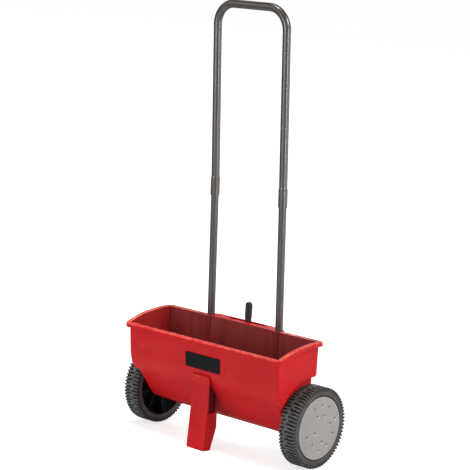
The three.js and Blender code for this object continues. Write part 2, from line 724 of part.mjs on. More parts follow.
// The front foot: a box section that is open to the rear, with a pad against the belly
function frontFoot() {
  const front = (inset) => [
    [inset - FOOT_FRONT_Y, FOOT_TOP_H + (inset ? OVERRUN : 0)],
    [inset - FOOT_KINK_Y, FOOT_KINK_H],
    lineToGround(inset - FOOT_KINK_Y, FOOT_KINK_H, FOOT_FRONT_RAKE, inset),
  ];
  const soleBack = front(0)[2][0] + FOOT_SOLE_DEPTH;
  const outline = [
    ...front(0),
    [soleBack, groundH(soleBack)],
    [-FOOT_BACK_KINK_Y, FOOT_BACK_KINK_H],
    [-FOOT_BACK_Y, FOOT_BACK_TOP_H],
    [-FOOT_BACK_Y, FOOT_TOP_H],
  ];
  const hollow = [
    ...front(FOOT_WALL),
    [0, groundH(0) + FOOT_WALL],
    [0, FOOT_TOP_H + OVERRUN],
  ];
  const recess = [
    [FOOT_WALL - FOOT_FRONT_Y, FOOT_TOP_H + OVERRUN],
    [FOOT_WALL - FOOT_KINK_Y, FOOT_KINK_H],
    [FOOT_WALL - FOOT_KINK_Y, FOOT_LEDGE_H],
    [0, FOOT_LEDGE_H],
    [0, FOOT_TOP_H + OVERRUN],
  ];
  const insideLow = FOOT_HALF - FOOT_WALL;
  const insideHigh = insideLow - FOOT_RECESS;
  const recessFace = FOOT_HALF - FOOT_RECESS;
  const narrow = solid(alongX(hollow, -insideHigh, insideHigh));
  const wideTop = FOOT_LEDGE_H - FOOT_WALL;
  const span = box(-insideLow, insideLow, -2 * FOOT_FRONT_Y, 0, -2 * WHEEL_R, wideTop);
  const wide = solid(alongX(hollow, -insideLow, insideLow)).intersect(solid(span));
  const recesses = [-1, 1].map((side) => {
    const ends = [side * recessFace, side * (FOOT_HALF + OVERRUN)].sort((a, b) => a - b);
    return solid(alongX(recess, ...ends));
  });
  const shell = cut(solid(alongX(outline, -FOOT_HALF, FOOT_HALF)), [narrow, wide, ...recesses]);
  const against = hopperSpace(-SEAT_GAP, RIM_FRONT_H);
  const padSpace = box(-insideHigh - FOOT_WALL / 2, insideHigh + FOOT_WALL / 2,
    FOOT_WALL / 2 - FOOT_FRONT_Y, 0, FOOT_PAD_LOW_H, FOOT_TOP_H);
  const pad = hopperSpace(-SEAT_GAP - FOOT_WALL, RIM_FRONT_H).intersect(solid(padSpace));
  const holes = [-1, 1].map((side) => screwHole(footScrewSeat(side), SCREW_LENGTH));
  return cut(shell.add(pad), [against, ...holes]);
}

// A bare plate with round corners, upright against the front wall
function namePlate() {
  const half = PLATE_LENGTH / 2 - PLATE_R;
  const rise = PLATE_HEIGHT / 2 - PLATE_R;
  const shape = new THREE.Shape();
  shape.absarc(half, rise, PLATE_R, 0, Math.PI / 2);
  shape.absarc(-half, rise, PLATE_R, Math.PI / 2, Math.PI);
  shape.absarc(-half, -rise, PLATE_R, Math.PI, 1.5 * Math.PI);
  shape.absarc(half, -rise, PLATE_R, 1.5 * Math.PI, 2 * Math.PI);
  const options = { depth: PLATE_THICK, bevelEnabled: false, curveSegments: STEPS_CORNER };
  const geometry = new THREE.ExtrudeGeometry(shape, options).rotateX(Math.PI / 2);
  return solid(geometry.translate(PLATE_SHIFT, -FRONT_Y - SEAT_GAP, PLATE_LOW_H + PLATE_HEIGHT / 2));
}

function lowerTube(side) {
  const axis = tubeAxis(side);
  const low = SEAT_GAP - SOCKET_DEPTH;
  const high = axis.length - SLEEVE_CONE;
  const tube = pipe(LOWER_TUBE_R, LOWER_TUBE_R - TUBE_WALL, low, high, SIDES_TUBE);
  const holes = [
    screwHole(socketScrewSeat(side), SCREW_LENGTH),
    screwHole(jointScrewSeat(side), JOINT_SCREW_LENGTH),
  ];
  return cut(solid(placed(tube, axis.base, axis.along)), holes);
}

// The upper handle's centre line from left to right, with its sleeves' stations
function handleLine() {
  const up = new THREE.Vector3(0, Math.sin(UPPER_LEAN), Math.cos(UPPER_LEAN));
  const rise = (HANDLE_TOP_H - JOINT_H) / up.z - BEND_R;
  const halves = [-1, 1].map((side) => {
    const { joint, along } = tubeAxis(side);
    const centre = joint.clone().addScaledVector(up, rise);
    centre.x -= side * BEND_R;
    const bend = Array.from({ length: STEPS_BEND + 1 }, (_, k) => {
      const angle = (k / STEPS_BEND) * (Math.PI / 2);
      const out = new THREE.Vector3(side * Math.cos(angle), 0, 0).addScaledVector(up, Math.sin(angle));
      const ahead = new THREE.Vector3(-side * Math.sin(angle), 0, 0);
      ahead.addScaledVector(up, Math.cos(angle));
      return { at: centre.clone().addScaledVector(out, BEND_R), ahead };
    });
    const below = (distance) => ({ at: joint.clone().addScaledVector(along, distance), ahead: along });
    return { below, bend };
  });
  return { halves, flat: new THREE.Vector3().crossVectors(X_AXIS, up) };
}

// A skin along the handle: sleeve stations of [distance along, radius] on each side, then the bends
function handleSkin(stations, r, sides) {
  const { halves, flat } = handleLine();
  const path = halves.map(({ below, bend }) => [
    ...stations.map(([distance, radius]) => ({ ...below(distance), radius })),
    ...bend.map((place) => ({ ...place, radius: r })),
  ]);
  const [left, right] = path;
  right.forEach((place) => { place.ahead = place.ahead.clone().negate(); });
  const rings = [...left, ...right.reverse()].map(({ at, ahead, radius }) => {
    const across = new THREE.Vector3().crossVectors(ahead, flat).normalize();
    return Array.from({ length: sides }, (_, k) => {
      const angle = ((k + 1 / 2) / sides) * 2 * Math.PI;
      const point = at.clone().addScaledVector(across, radius * Math.cos(angle));
      return point.addScaledVector(flat, radius * Math.sin(angle));
    });
  });
  return solid(loft(rings));
}

// One bent tube, widened at each end to a sleeve that slips over a lower tube
function upperHandle() {
  const bore = LOWER_TUBE_R + SEAT_GAP;
  const outside = [
    [-SLEEVE_LENGTH, bore + SLEEVE_WALL],
    [0, bore + SLEEVE_WALL],
    [SLEEVE_CONE, UPPER_TUBE_R],
  ];
  const inside = [
    [-SLEEVE_LENGTH - OVERRUN, acrossFlats(bore, SIDES_BORE)],
    [-SLEEVE_CONE / 2, acrossFlats(bore, SIDES_BORE)],
    [0, UPPER_TUBE_R - TUBE_WALL],
  ];
  const tube = handleSkin(outside, UPPER_TUBE_R, SIDES_TUBE);
  const hollow = handleSkin(inside, UPPER_TUBE_R - TUBE_WALL, SIDES_BORE);
  const holes = [-1, 1].map((side) => screwHole(jointScrewSeat(side), JOINT_SCREW_LENGTH));
  return cut(tube, [hollow, ...holes]);
}

// A pan-head screw, with its head's underside at the origin and its shank along -z
function screwGeometry(length) {
  const profile = [
    [-length, 0],
    [-length, SCREW_R],
    [0, SCREW_R],
    [0, SCREW_HEAD_R],
    [SCREW_HEAD / 2, SCREW_HEAD_R],
    [SCREW_HEAD, SCREW_HEAD_R * Math.SQRT1_2],
    [SCREW_HEAD, 0],
  ];
  return turned(profile, SIDES_SMALL);
}

function screw(seat, length) {
  return solid(placed(screwGeometry(length), seat.origin, seat.out));
}

// Stations along the axle, from the middle outwards
const FLANGE_X = TROUGH_HALF + SEAT_GAP;
const WASHER_X = FLANGE_X + BUSH_FLANGE + SEAT_GAP;
const HUB_X = WASHER_X + WASHER + SEAT_GAP;
const HUB_END_X = TRACK_HALF - HUB_OUTER_DEPTH;
const RETAINER_X = HUB_END_X + SEAT_GAP;
const AXLE_END_X = RETAINER_X + RETAINER + AXLE_OVERHANG;
const AXLE_BORE_R = acrossFlats(AXLE_R + SEAT_GAP, SIDES_BORE);
const DRIVE_PIN_X = (HUB_X + HUB_END_X) / 2;
const AGITATOR_PIN_X = OUTLET_PITCH * (3 / 2); // midway between two outlets
const HUB_R = AXLE_R + SEAT_GAP + HUB_WALL;

function axleBush() {
  const r = AXLE_R + SEAT_GAP + BUSH_WALL;
  const profile = [
    [TROUGH_HALF - BUSH_LENGTH, AXLE_BORE_R],
    [TROUGH_HALF - BUSH_LENGTH, r],
    [FLANGE_X, r],
    [FLANGE_X, BUSH_FLANGE_R],
    [FLANGE_X + BUSH_FLANGE, BUSH_FLANGE_R],
    [FLANGE_X + BUSH_FLANGE, AXLE_BORE_R],
  ];
  return solid(turnedAboutX(profile, SIDES_BORE));
}

function ringOnAxle(from, thick, r) {
  const to = from + thick;
  const profile = [[from, AXLE_BORE_R], [from, r], [to, r], [to, AXLE_BORE_R]];
  return solid(turnedAboutX(profile, SIDES_BORE));
}

function crossRod(x, r, length) {
  return solid(rod(r, -length / 2, length / 2, SIDES_SMALL).translate(x, 0, 0));
}

const PIN_HOLE_R = acrossFlats(PIN_R + SEAT_GAP, SIDES_SMALL);

function axle() {
  const profile = [[-AXLE_END_X, 0], [-AXLE_END_X, AXLE_R], [AXLE_END_X, AXLE_R], [AXLE_END_X, 0]];
  const bar = solid(turnedAboutX(profile, SIDES_BORE));
  const through = 2 * AXLE_R + OVERRUN;
  const holes = [DRIVE_PIN_X, AGITATOR_PIN_X].map((x) => crossRod(x, PIN_HOLE_R, through));
  return cut(bar, holes);
}

// The agitator's sleeve has a paddle over each outlet, a quarter turn on from the one before
function agitator() {
  const half = TROUGH_HALF - AGITATOR_END;
  const sleeve = turnedAboutX([[-half, 0], [-half, AGITATOR_R], [half, AGITATOR_R], [half, 0]], SIDES_SMALL);
  sleeve.rotateX(Math.PI / SIDES_SMALL);
  const bore = turnedAboutX([[-TROUGH_HALF, 0], [-TROUGH_HALF, AXLE_BORE_R],
    [TROUGH_HALF, AXLE_BORE_R], [TROUGH_HALF, 0]], SIDES_BORE);
  const paddles = Array.from({ length: OUTLET_COUNT }, (_, i) => {
    const across = PADDLE_LENGTH / 2;
    const thick = PADDLE_THICK / 2;
    const blade = box(-across, across, -thick, thick, AXLE_R, PADDLE_REACH);
    return solid(blade.rotateX(i * (Math.PI / 2)).translate(outletX(i), 0, 0));
  });
  const hole = crossRod(AGITATOR_PIN_X, PIN_HOLE_R, 2 * AGITATOR_R + OVERRUN);
  return cut(join([solid(sleeve), ...paddles]), [solid(bore), hole]);
}

// The slide's outlets are offset, so that the middle of the lever's swing leaves them half open
const SLIDE_TRAVEL = LEVER_ARM * LEVER_SWING;

function dosingSlide() {
  const strip = box(-SLIDE_HALF, SLIDE_HALF, SLIDE_FRONT_Y, SLIDE_REAR_Y, SLIDE_LOW_H, SLIDE_TOP_H);
  const leverFoot = pivot.y - LEVER_FOOT * Math.sin(REAR_RAKE);
  const flangeRear = leverFoot - LEVER_THICK / 2 / Math.cos(REAR_RAKE) - FLANGE_GAP;
  const flangeFront = flangeRear - SLIDE_THICK;
  const root = SLIDE_REAR_Y - SLIDE_THICK;
  const tab = box(-TAB_HALF, TAB_HALF, root, flangeRear, SLIDE_LOW_H, SLIDE_TOP_H);
  const flange = box(-TAB_HALF, TAB_HALF, flangeFront, flangeRear, SLIDE_LOW_H, -FLANGE_DROP);
  const stud = rod(DRIVE_STUD_R, -SLIDE_THICK / 2, DRIVE_STUD_LENGTH, SIDES_SMALL);
  const studAt = new THREE.Vector3(0, flangeRear, -LEVER_ARM * Math.cos(REAR_RAKE));
  const holes = outletCutters(SLIDE_TRAVEL, SLIDE_LOW_H - OVERRUN, SLIDE_TOP_H + OVERRUN);
  const whole = join([solid(strip), solid(tab), solid(flange), solid(placed(stud, studAt, Y_AXIS))]);
  return cut(whole, holes);
}

// The lever lies in its own plane: x across, z up from the pivot, y through its thickness
function dosingLever() {
  const shape = new THREE.Shape();
  const forkHalf = DRIVE_STUD_R + SEAT_GAP;
  const tipHeight = LEVER_TOP - LEVER_TOP_R;
  shape.moveTo(-LEVER_FOOT_HALF, -LEVER_FOOT);
  shape.lineTo(-forkHalf, -LEVER_FOOT);
  shape.lineTo(-forkHalf, forkHalf - LEVER_ARM);
  shape.lineTo(forkHalf, forkHalf - LEVER_ARM);
  shape.lineTo(forkHalf, -LEVER_FOOT);
  shape.lineTo(LEVER_FOOT_HALF, -LEVER_FOOT);
  shape.absarc(0, 0, LEVER_HUB_R, -Math.PI / 4, Math.PI / 4);
  shape.lineTo(LEVER_NECK_HALF, LEVER_NECK_AT);
  shape.absarc(0, tipHeight, LEVER_TOP_R, 0, Math.PI);
  shape.lineTo(-LEVER_NECK_HALF, LEVER_NECK_AT);
  shape.absarc(0, 0, LEVER_HUB_R, (3 * Math.PI) / 4, (5 * Math.PI) / 4);
  shape.holes.push(new THREE.Path(circle(acrossFlats(PIVOT_SHOULDER_R + SEAT_GAP, SIDES_BORE))));
  const options = {
    depth: LEVER_THICK - 2 * LEVER_BEVEL,
    bevelThickness: LEVER_BEVEL,
    bevelSize: LEVER_BEVEL,
    bevelOffset: -LEVER_BEVEL,
    bevelSegments: 1,
    curveSegments: STEPS_ARC,
  };
  const geometry = new THREE.ExtrudeGeometry(shape, options);
  geometry.translate(0, 0, LEVER_BEVEL - LEVER_THICK / 2).rotateX(Math.PI / 2);
  return solid(geometry);
}

function pivotScrew() {
  const shoulder = LEVER_THICK + 3 * SEAT_GAP + PIVOT_WASHER;
  const from = BOSS_FACE + SEAT_GAP;
  const profile = [
    [from - PIVOT_THREAD, 0],
    [from - PIVOT_THREAD, SCREW_R],
    [from, SCREW_R],
    [from, PIVOT_SHOULDER_R],
    [from + shoulder, PIVOT_SHOULDER_R],
    [from + shoulder, PIVOT_HEAD_R],
    [from + shoulder + PIVOT_HEAD * 0.6, PIVOT_HEAD_R],
    [from + shoulder + PIVOT_HEAD, PIVOT_HEAD_R * Math.SQRT1_2],
    [from + shoulder + PIVOT_HEAD, 0],
  ];
  return solid(placed(turned(profile, SIDES_BORE), pivotOnWall, wallOut));
}

function pivotWasher() {
  const from = LEVER_OFFSET + LEVER_THICK / 2 + SEAT_GAP;
  const bore = acrossFlats(PIVOT_SHOULDER_R + SEAT_GAP, SIDES_BORE);
  const ring = pipe(PIVOT_WASHER_R, bore, from, from + PIVOT_WASHER, SIDES_BORE);
  return solid(placed(ring, pivotOnWall, wallOut));
}

// The right wheel's pieces, at their place on the axle. The left wheel mirrors them.

const TYRE_IN_X = TRACK_HALF - TYRE_WIDTH;

// V-shaped grooves in two rows. They start beside a zigzag rib and run out through the side.
function treadGrooves() {
  const pitch = Math.PI / TREAD_PERIODS;
  const middle = TRACK_HALF - TYRE_WIDTH / 2;
  const floor = WHEEL_R - TREAD_DEPTH;
  const mouth = (pitch * WHEEL_R * GROOVE_SHARE) / 2;
  const wide = mouth * (1 + OVERRUN / TREAD_DEPTH);
  const outline = [[0, floor], [wide, WHEEL_R + OVERRUN], [-wide, WHEEL_R + OVERRUN]];
  const grooves = [];
  for (let i = 0; i < 2 * TREAD_PERIODS; i += 1) {
    const ribShift = (i % 2 === 0 ? 1 : -1) * TREAD_ZIGZAG;
    for (const row of [-1, 1]) {
      const start = middle + ribShift + (row * TREAD_RIB) / 2;
      const end = middle + row * (TYRE_WIDTH / 2 + OVERRUN);
      const groove = alongX(outline, ...[start, end].sort((a, b) => a - b));
      grooves.push(solid(groove.rotateX(Math.PI / 2 + (i + 1 / 2) * pitch)));
    }
  }
  return grooves;
}

function tyre() {
  const inX = TYRE_IN_X;
  const outX = TRACK_HALF;
  const bead = acrossFlats(TYRE_SIDE_R, TREAD_PERIODS);
  const inside = acrossFlats(WHEEL_R - TREAD_WALL, TREAD_PERIODS);
  const profile = [
    [inX, bead],
    [inX, WHEEL_R],
    [outX, WHEEL_R],
    [outX, bead],
    [outX - TYRE_SIDE_WALL, bead],
    [outX - TYRE_SIDE_WALL, inside],
    [inX + TYRE_SIDE_WALL, inside],
    [inX + TYRE_SIDE_WALL, bead],
  ];
  return cut(solid(turnedAboutX(profile, TREAD_PERIODS)), treadGrooves());
}

const BARREL_R = WHEEL_R - TREAD_WALL - SEAT_GAP;
const SEAT_X = TRACK_HALF - RIM_SEAT_DROP - SEAT_GAP;
const WEB_X = TRACK_HALF - RIM_WEB_DEPTH;

// A barrel under the tyre, a seat behind the hub cap, a dished web, a hub and ribs inside
function wheelRim() {
  const barrelIn = TYRE_IN_X + TYRE_SIDE_WALL + SEAT_GAP;
  const webX = WEB_X - RIM_DISH;
  const seatR = TYRE_SIDE_R - RIM_SEAT_WIDTH;
  const profile = [
    [barrelIn, BARREL_R - RIM_BARREL],
    [barrelIn, BARREL_R],
    [SEAT_X, BARREL_R],
    [SEAT_X, seatR],
    [webX, HUB_R],
    [HUB_END_X, HUB_R],
    [HUB_END_X, AXLE_BORE_R],
    [HUB_X, AXLE_BORE_R],
    [HUB_X, HUB_R],
    [webX - RIM_WEB, HUB_R],
    [SEAT_X - RIM_WEB, seatR],
    [SEAT_X - RIM_WEB, BARREL_R - RIM_BARREL],
  ];
  const inner = HUB_R - HUB_WALL / 2;
  const outer = BARREL_R - RIM_BARREL / 2;
  const low = TYRE_IN_X + RIM_RIB_LOW;
  const ribOutline = [
    [inner, low],
    [outer, low],
    [outer, SEAT_X - RIM_WEB / 2],
    [seatR, SEAT_X - RIM_WEB / 2],
    [inner, webX - RIM_WEB / 2],
  ];
  const toAxle = new THREE.Matrix4().makeBasis(Y_AXIS, X_AXIS, Z_AXIS.clone().negate());
  const ribs = Array.from({ length: RIM_RIBS }, (_, i) => {
    const rib = upwards(ribOutline, -RIM_RIB_THICK / 2, RIM_RIB_THICK / 2).applyMatrix4(toAxle);
    return solid(rib.rotateX(((i + RIB_TURN) / RIM_RIBS) * 2 * Math.PI));
  });
  return join([solid(turnedAboutX(profile, SIDES_RIM)), ...ribs]);
}

// The cap's face: a shallow dome, from the middle to the rolled edge
function capFace() {
  const faceX = TRACK_HALF + CAP_PROUD;
  const flat = CAP_R - CAP_EDGE_R;
  return Array.from({ length: STEPS_DOME + 1 }, (_, k) => {
    const share = k / STEPS_DOME;
    return [faceX + CAP_DOME * (1 - share ** 2), flat * share];
  });
}

// A shallow cone that opens outwards through the cap's face
function dimple([share, degrees]) {
  const r = share * CAP_R;
  const angle = THREE.MathUtils.degToRad(degrees);
  const surface = TRACK_HALF + CAP_PROUD + CAP_DOME * (1 - (r / (CAP_R - CAP_EDGE_R)) ** 2);
  const widen = DIMPLE_R / DIMPLE_DEPTH;
  const profile = [
    [surface - DIMPLE_DEPTH, 0],
    [surface + DIMPLE_DEPTH, 2 * DIMPLE_DEPTH * widen],
    [surface + DIMPLE_DEPTH, 0],
  ];
  const cone = turnedAboutX(profile, SIDES_DIMPLE);
  return solid(cone.translate(0, r * Math.cos(angle), r * Math.sin(angle)));
}

function hubCap() {
  const face = capFace();
  const backX = SEAT_X + SEAT_GAP;
  const spigotR = HUB_R + SEAT_GAP;
  const insideX = TRACK_HALF + CAP_PROUD + CAP_DOME - CAP_WALL;
  const profile = [
    ...face,
    [TRACK_HALF + CAP_PROUD - CAP_EDGE_R, CAP_R],
    [backX, CAP_R],
    [backX, CAP_R - CAP_WALL],
    [TRACK_HALF + CAP_PROUD - CAP_WALL, CAP_R - CAP_WALL],
    [insideX, spigotR + CAP_SPIGOT],
    [HUB_END_X - CAP_SPIGOT_REACH, spigotR + CAP_SPIGOT],
    [HUB_END_X - CAP_SPIGOT_REACH, spigotR],
    [insideX, spigotR],
    [insideX, 0],
  ];
  return cut(solid(turnedAboutX(profile, SIDES_CAP)), DIMPLE_SHARES.map(dimple));
}

// Finishes, as seen in daylight
const finish = (color, roughness, metalness) => () => {
  return new THREE.MeshStandardMaterial({ color, roughness, metalness });
};
const RED = finish(0xcf2a2e, 0.42, 0);
const TUBE = finish(0x77756f, 0.38, 0.7);
const BLACK = finish(0x222423, 0.55, 0);
const TREAD = finish(0x3c3d3c, 0.7, 0);
const GREY = finish(0xb1adac, 0.5, 0);
const PLATE = finish(0x14202a, 0.35, 0);
const ZINC = finish(0xb9bcbe, 0.35, 0.9);
const NATURAL = finish(0xd8d4c6, 0.5, 0);

const parked = new THREE.Group();
parked.rotation.x = PARK_TILT;
parked.position.z = WHEEL_R;

function add(name, material, body) {
  const mesh = new THREE.Mesh(geometryOf(body), material());
  mesh.name = name;
  parked.add(mesh);
  return mesh;
}

function addFrame() {
  add('hopper', RED, hopper());
  add('front_foot', RED, frontFoot());
  add('name_plate', PLATE, namePlate());
  add('upper_handle', TUBE, upperHandle());
  for (const [word, side] of [['left', -1], ['right', 1]]) {
    add(`lower_tube_${word}`, TUBE, lowerTube(side));
    add(`socket_screw_${word}`, ZINC, screw(socketScrewSeat(side), SCREW_LENGTH));
    add(`joint_screw_${word}`, ZINC, screw(jointScrewSeat(side), JOINT_SCREW_LENGTH));
    add(`foot_screw_${word}`, ZINC, screw(footScrewSeat(side), SCREW_LENGTH));
  }
}

function addDosing() {
  add('dosing_slide', NATURAL, dosingSlide());
  const lever = add('dosing_lever', BLACK, dosingLever());
  lever.position.copy(pivot);
  lever.rotation.x = -REAR_RAKE;
  add('lever_pivot_screw', ZINC, pivotScrew());
  add('lever_washer', ZINC, pivotWasher());
}

function addRunningGear() {
  add('axle', ZINC, axle());
  add('agitator', BLACK, agitator());
  add('agitator_pin', ZINC, crossRod(AGITATOR_PIN_X, PIN_R, AGITATOR_PIN_LENGTH));
  add('drive_pin', ZINC, crossRod(DRIVE_PIN_X, PIN_R, DRIVE_PIN_LENGTH));
  const pieces = [
    ['axle_bush', NATURAL, axleBush()],
    ['hub_washer', ZINC, ringOnAxle(WASHER_X, WASHER, WASHER_R)],
    ['wheel_rim', BLACK, wheelRim()],
    ['tyre', TREAD, tyre()],
    ['hub_cap', GREY, hubCap()],
    ['axle_retainer', ZINC, ringOnAxle(RETAINER_X, RETAINER, RETAINER_R)],
  ];
  const pinHole = crossRod(DRIVE_PIN_X, PIN_HOLE_R, 2 * HUB_R + OVERRUN);
  for (const [name, material, body] of pieces) {
    add(`${name}_left`, material, mirrored(body));
    add(`${name}_right`, material, name === 'wheel_rim' ? body.subtract(pinHole) : body);
  }
}

addFrame();
addDosing();
addRunningGear();

// The origin is on the ground, in the middle of the whole spreader's box
const spreader = new THREE.Group();
spreader.add(parked);
const extent = new THREE.Box3().setFromObject(spreader, true);
parked.position.y = -(extent.min.y + extent.max.y) / 2;

export default spreader;
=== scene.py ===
# %% [markdown]
# # A drop spreader for lawns
# The CAD model says where every piece is and how it moves. This lesson dresses it: the pieces that
# a buyer sees are made again with finer curves and soft edges, in the same places, and every piece
# gets a material. It starts by loading the CAD model as a frame that never moves.

# %% Load the frame
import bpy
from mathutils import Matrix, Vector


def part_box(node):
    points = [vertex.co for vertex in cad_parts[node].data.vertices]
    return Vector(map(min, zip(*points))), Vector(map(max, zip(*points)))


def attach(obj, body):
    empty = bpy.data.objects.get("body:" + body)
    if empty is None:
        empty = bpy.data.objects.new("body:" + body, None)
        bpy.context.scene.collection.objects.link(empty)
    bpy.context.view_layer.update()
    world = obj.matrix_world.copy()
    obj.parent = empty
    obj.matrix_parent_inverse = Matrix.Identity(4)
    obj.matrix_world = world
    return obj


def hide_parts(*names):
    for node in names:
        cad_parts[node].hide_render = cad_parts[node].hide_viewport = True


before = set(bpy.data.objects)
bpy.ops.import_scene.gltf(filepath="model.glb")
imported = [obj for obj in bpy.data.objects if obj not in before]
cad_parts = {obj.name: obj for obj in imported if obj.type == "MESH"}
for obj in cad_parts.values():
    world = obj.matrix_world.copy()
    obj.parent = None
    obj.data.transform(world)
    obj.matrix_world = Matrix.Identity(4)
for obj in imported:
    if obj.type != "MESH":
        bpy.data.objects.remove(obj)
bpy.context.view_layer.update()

# %% [markdown]
# ## Measuring from the axle
# A maker measures a spreader from its axle: x along it, y to the rear and h upwards, in
# millimetres. Parked, the whole spreader leans forward on its foot. So every piece is drawn square
# to the axle, and one matrix tips it, sets it on the ground and turns millimetres into metres.

# %% The axle's place
import math

import bmesh
import bpy
from mathutils import Matrix, Vector

PARK_TILT = math.radians(7.6)
axle_low, axle_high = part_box("axle")
AXLE_MIDDLE = (axle_low + axle_high) / 2
PARKED = (Matrix.Translation(AXLE_MIDDLE) @ Matrix.Rotation(PARK_TILT, 4, "X")
          @ Matrix.Scale(0.001, 4))
print("axle middle", tuple(round(v, 4) for v in AXLE_MIDDLE))

# %% [markdown]
# ## Three ways to make a closed shape
# Most of the pieces are a turned profile, a loft through rings, or a flat outline pulled along x.
# All of them come out as closed skins, with doubled corners merged and faces turned outwards.
# Solids are then joined or cut with Blender's Manifold solver, which is quick and leaves no holes.

# %% Closed shapes
def mesh_of(shape):
    mesh = bpy.data.meshes.new("draft")
    shape.to_mesh(mesh)
    shape.free()
    return mesh


def skin(points, faces):
    shape = bmesh.new()
    corners = [shape.verts.new(point) for point in points]
    for face in faces:
        shape.faces.new([corners[i] for i in face])
    bmesh.ops.remove_doubles(shape, verts=shape.verts, dist=0.0005)
    bare = [edge for edge in shape.edges if edge.is_wire]
    bmesh.ops.delete(shape, geom=bare, context="EDGES")
    bmesh.ops.recalc_face_normals(shape, faces=shape.faces)
    return mesh_of(shape)


def loft(rings, ring_of_rings=False):
    """A skin through rings of points, with flat ends unless it closes on itself."""
    count, total = len(rings[0]), len(rings)
    faces = []
    for j in range(total if ring_of_rings else total - 1):
        low, high = j * count, (j + 1) % total * count
        for i in range(count):
            after = (i + 1) % count
            faces.append((low + i, low + after, high + after, high + i))
    if not ring_of_rings:
        last = (total - 1) * count
        faces += [tuple(range(count)), tuple(last + i for i in range(count))]
    return skin([point for ring in rings for point in ring], faces)


def turned(profile, sides=96):
    """A closed profile of (distance along the axle, radius), turned about the axle."""
    rings = []
    for k in range(sides):
        angle = 2 * math.pi * k / sides
        rings.append([(x, r * math.cos(angle), r * math.sin(angle)) for x, r in profile])
    return loft(rings, ring_of_rings=True)


def rod(r, start, end, sides=48, bore=0):
    """A round bar about the axle, or a sleeve if it has a bore."""
    return turned([(start, bore), (start, r), (end, r), (end, bore)], sides)


def pulled(outline, x0, x1):
    """An outline of (y, h) points, pulled along x."""
    return loft([[(x, y, h) for y, h in outline] for x in (x0, x1)])


def block(x0, x1, y0, y1, h0, h1):
    return pulled([(y0, h0), (y1, h0), (y1, h1), (y0, h1)], x0, x1)


def arc(middle, r, start, end, steps):
    """Points of an arc about (a, b), from one angle to another in degrees."""
    angles = [math.radians(start + (end - start) * k / steps) for k in range(steps + 1)]
    return [(middle[0] + r * math.cos(t), middle[1] + r * math.sin(t)) for t in angles]


# %% Joining and cutting
def held(data, name="draft"):
    """An object in the scene that holds a mesh, a lamp or a camera."""
    holder = bpy.data.objects.new(name, data)
    bpy.context.scene.collection.objects.link(holder)
    return holder


def result(holder, *helpers):
    """The mesh that an object's modifiers make. The object and its helpers are then removed."""
    graph = bpy.context.evaluated_depsgraph_get()
    mesh = bpy.data.meshes.new_from_object(holder.evaluated_get(graph))
    holder.modifiers.clear()
    for drafted in (holder, *helpers):
        bpy.data.objects.remove(drafted)
    return mesh


def combined(base, others, operation):
    holder, helpers = held(base), [held(other) for other in others]
    for helper in helpers:
        step = holder.modifiers.new("combine", "BOOLEAN")
        step.operation, step.object, step.solver = operation, helper, "MANIFOLD"
    return result(holder, *helpers)


def joined(first, *others):
    return combined(first, others, "UNION")


def cut(base, *cutters):
    return combined(base, cutters, "DIFFERENCE")


def copied(mesh, matrix):
    twin = mesh.copy()
    twin.transform(matrix)
    if matrix.determinant() < 0:
        twin.flip_normals()
    return twin


MIRROR = Matrix.Scale(-1, 4, (1, 0, 0))
print("shape helpers ready")

# %% [markdown]
# ## Node trees, written like a parts list
# Materials and Geometry Nodes are both trees. A bench adds a node, feeds its sockets with values or
# with other nodes' outputs, and keeps each line of the tree readable.

# %% The node bench
class Bench:
    def __init__(self, tree):
        self.tree = tree

    def add(self, kind, feeds=None, **settings):
        node = self.tree.nodes.new(kind)
        for key, value in settings.items():
            setattr(node, key, value)
        for key, value in (feeds or {}).items():
            if isinstance(value, bpy.types.NodeSocket):
                self.tree.links.new(value, node.inputs[key])
            else:
                node.inputs[key].default_value = value
        return node

    def sum(self, operation, *values):
        feeds = dict(enumerate(values))
        return self.add("ShaderNodeMath", feeds, operation=operation).outputs[0]

    def vector_sum(self, operation, *values):
        feeds = dict(enumerate(values))
        return self.add("ShaderNodeVectorMath", feeds, operation=operation).outputs

    def axes(self, **values):
        return self.add("ShaderNodeCombineXYZ", values).outputs[0]

    def read(self, name, output="Fac"):
        """An attribute that a mesh carries."""
        return self.add("ShaderNodeAttribute", attribute_name=name).outputs[output]


def grower(name, sizes):
    """A Geometry Nodes tree with a geometry input, and a named input for each size."""
    tree = bpy.data.node_groups.new(name, "GeometryNodeTree")
    tree.interface.new_socket("Geometry", in_out="INPUT", socket_type="NodeSocketGeometry")
    for label, kind in sizes.items():
        tree.interface.new_socket(label, in_out="INPUT", socket_type="NodeSocket" + kind)
    tree.interface.new_socket("Geometry", in_out="OUTPUT", socket_type="NodeSocketGeometry")
    bench = Bench(tree)
    return bench, bench.add("NodeGroupInput").outputs


def row_points(bench, count, pitch):
    """Points in a row along x, with the middle of the row at the origin."""
    reach = bench.sum("MULTIPLY", bench.sum("SUBTRACT", count, 1.0), pitch)
    start = bench.axes(X=bench.sum("MULTIPLY", reach, -0.5))
    feeds = {"Count": count, "Start Location": start, "Offset": bench.axes(X=pitch)}
    return bench.add("GeometryNodeMeshLine", feeds).outputs[0]


def set_out(bench, points, piece, rotation=(0, 0, 0)):
    """A copy of the piece on every point."""
    feeds = {"Points": points, "Instance": piece, "Rotation": rotation}
    return bench.add("GeometryNodeInstanceOnPoints", feeds).outputs[0]


def end_tree(bench, geometry, material):
    """Every tree ends alike: instances made real, and a material set."""
    real = bench.add("GeometryNodeRealizeInstances", {"Geometry": geometry}).outputs[0]
    dressed = bench.add("GeometryNodeSetMaterial", {"Geometry": real, "Material": material})
    bench.add("NodeGroupOutput", {"Geometry": dressed.outputs[0]})


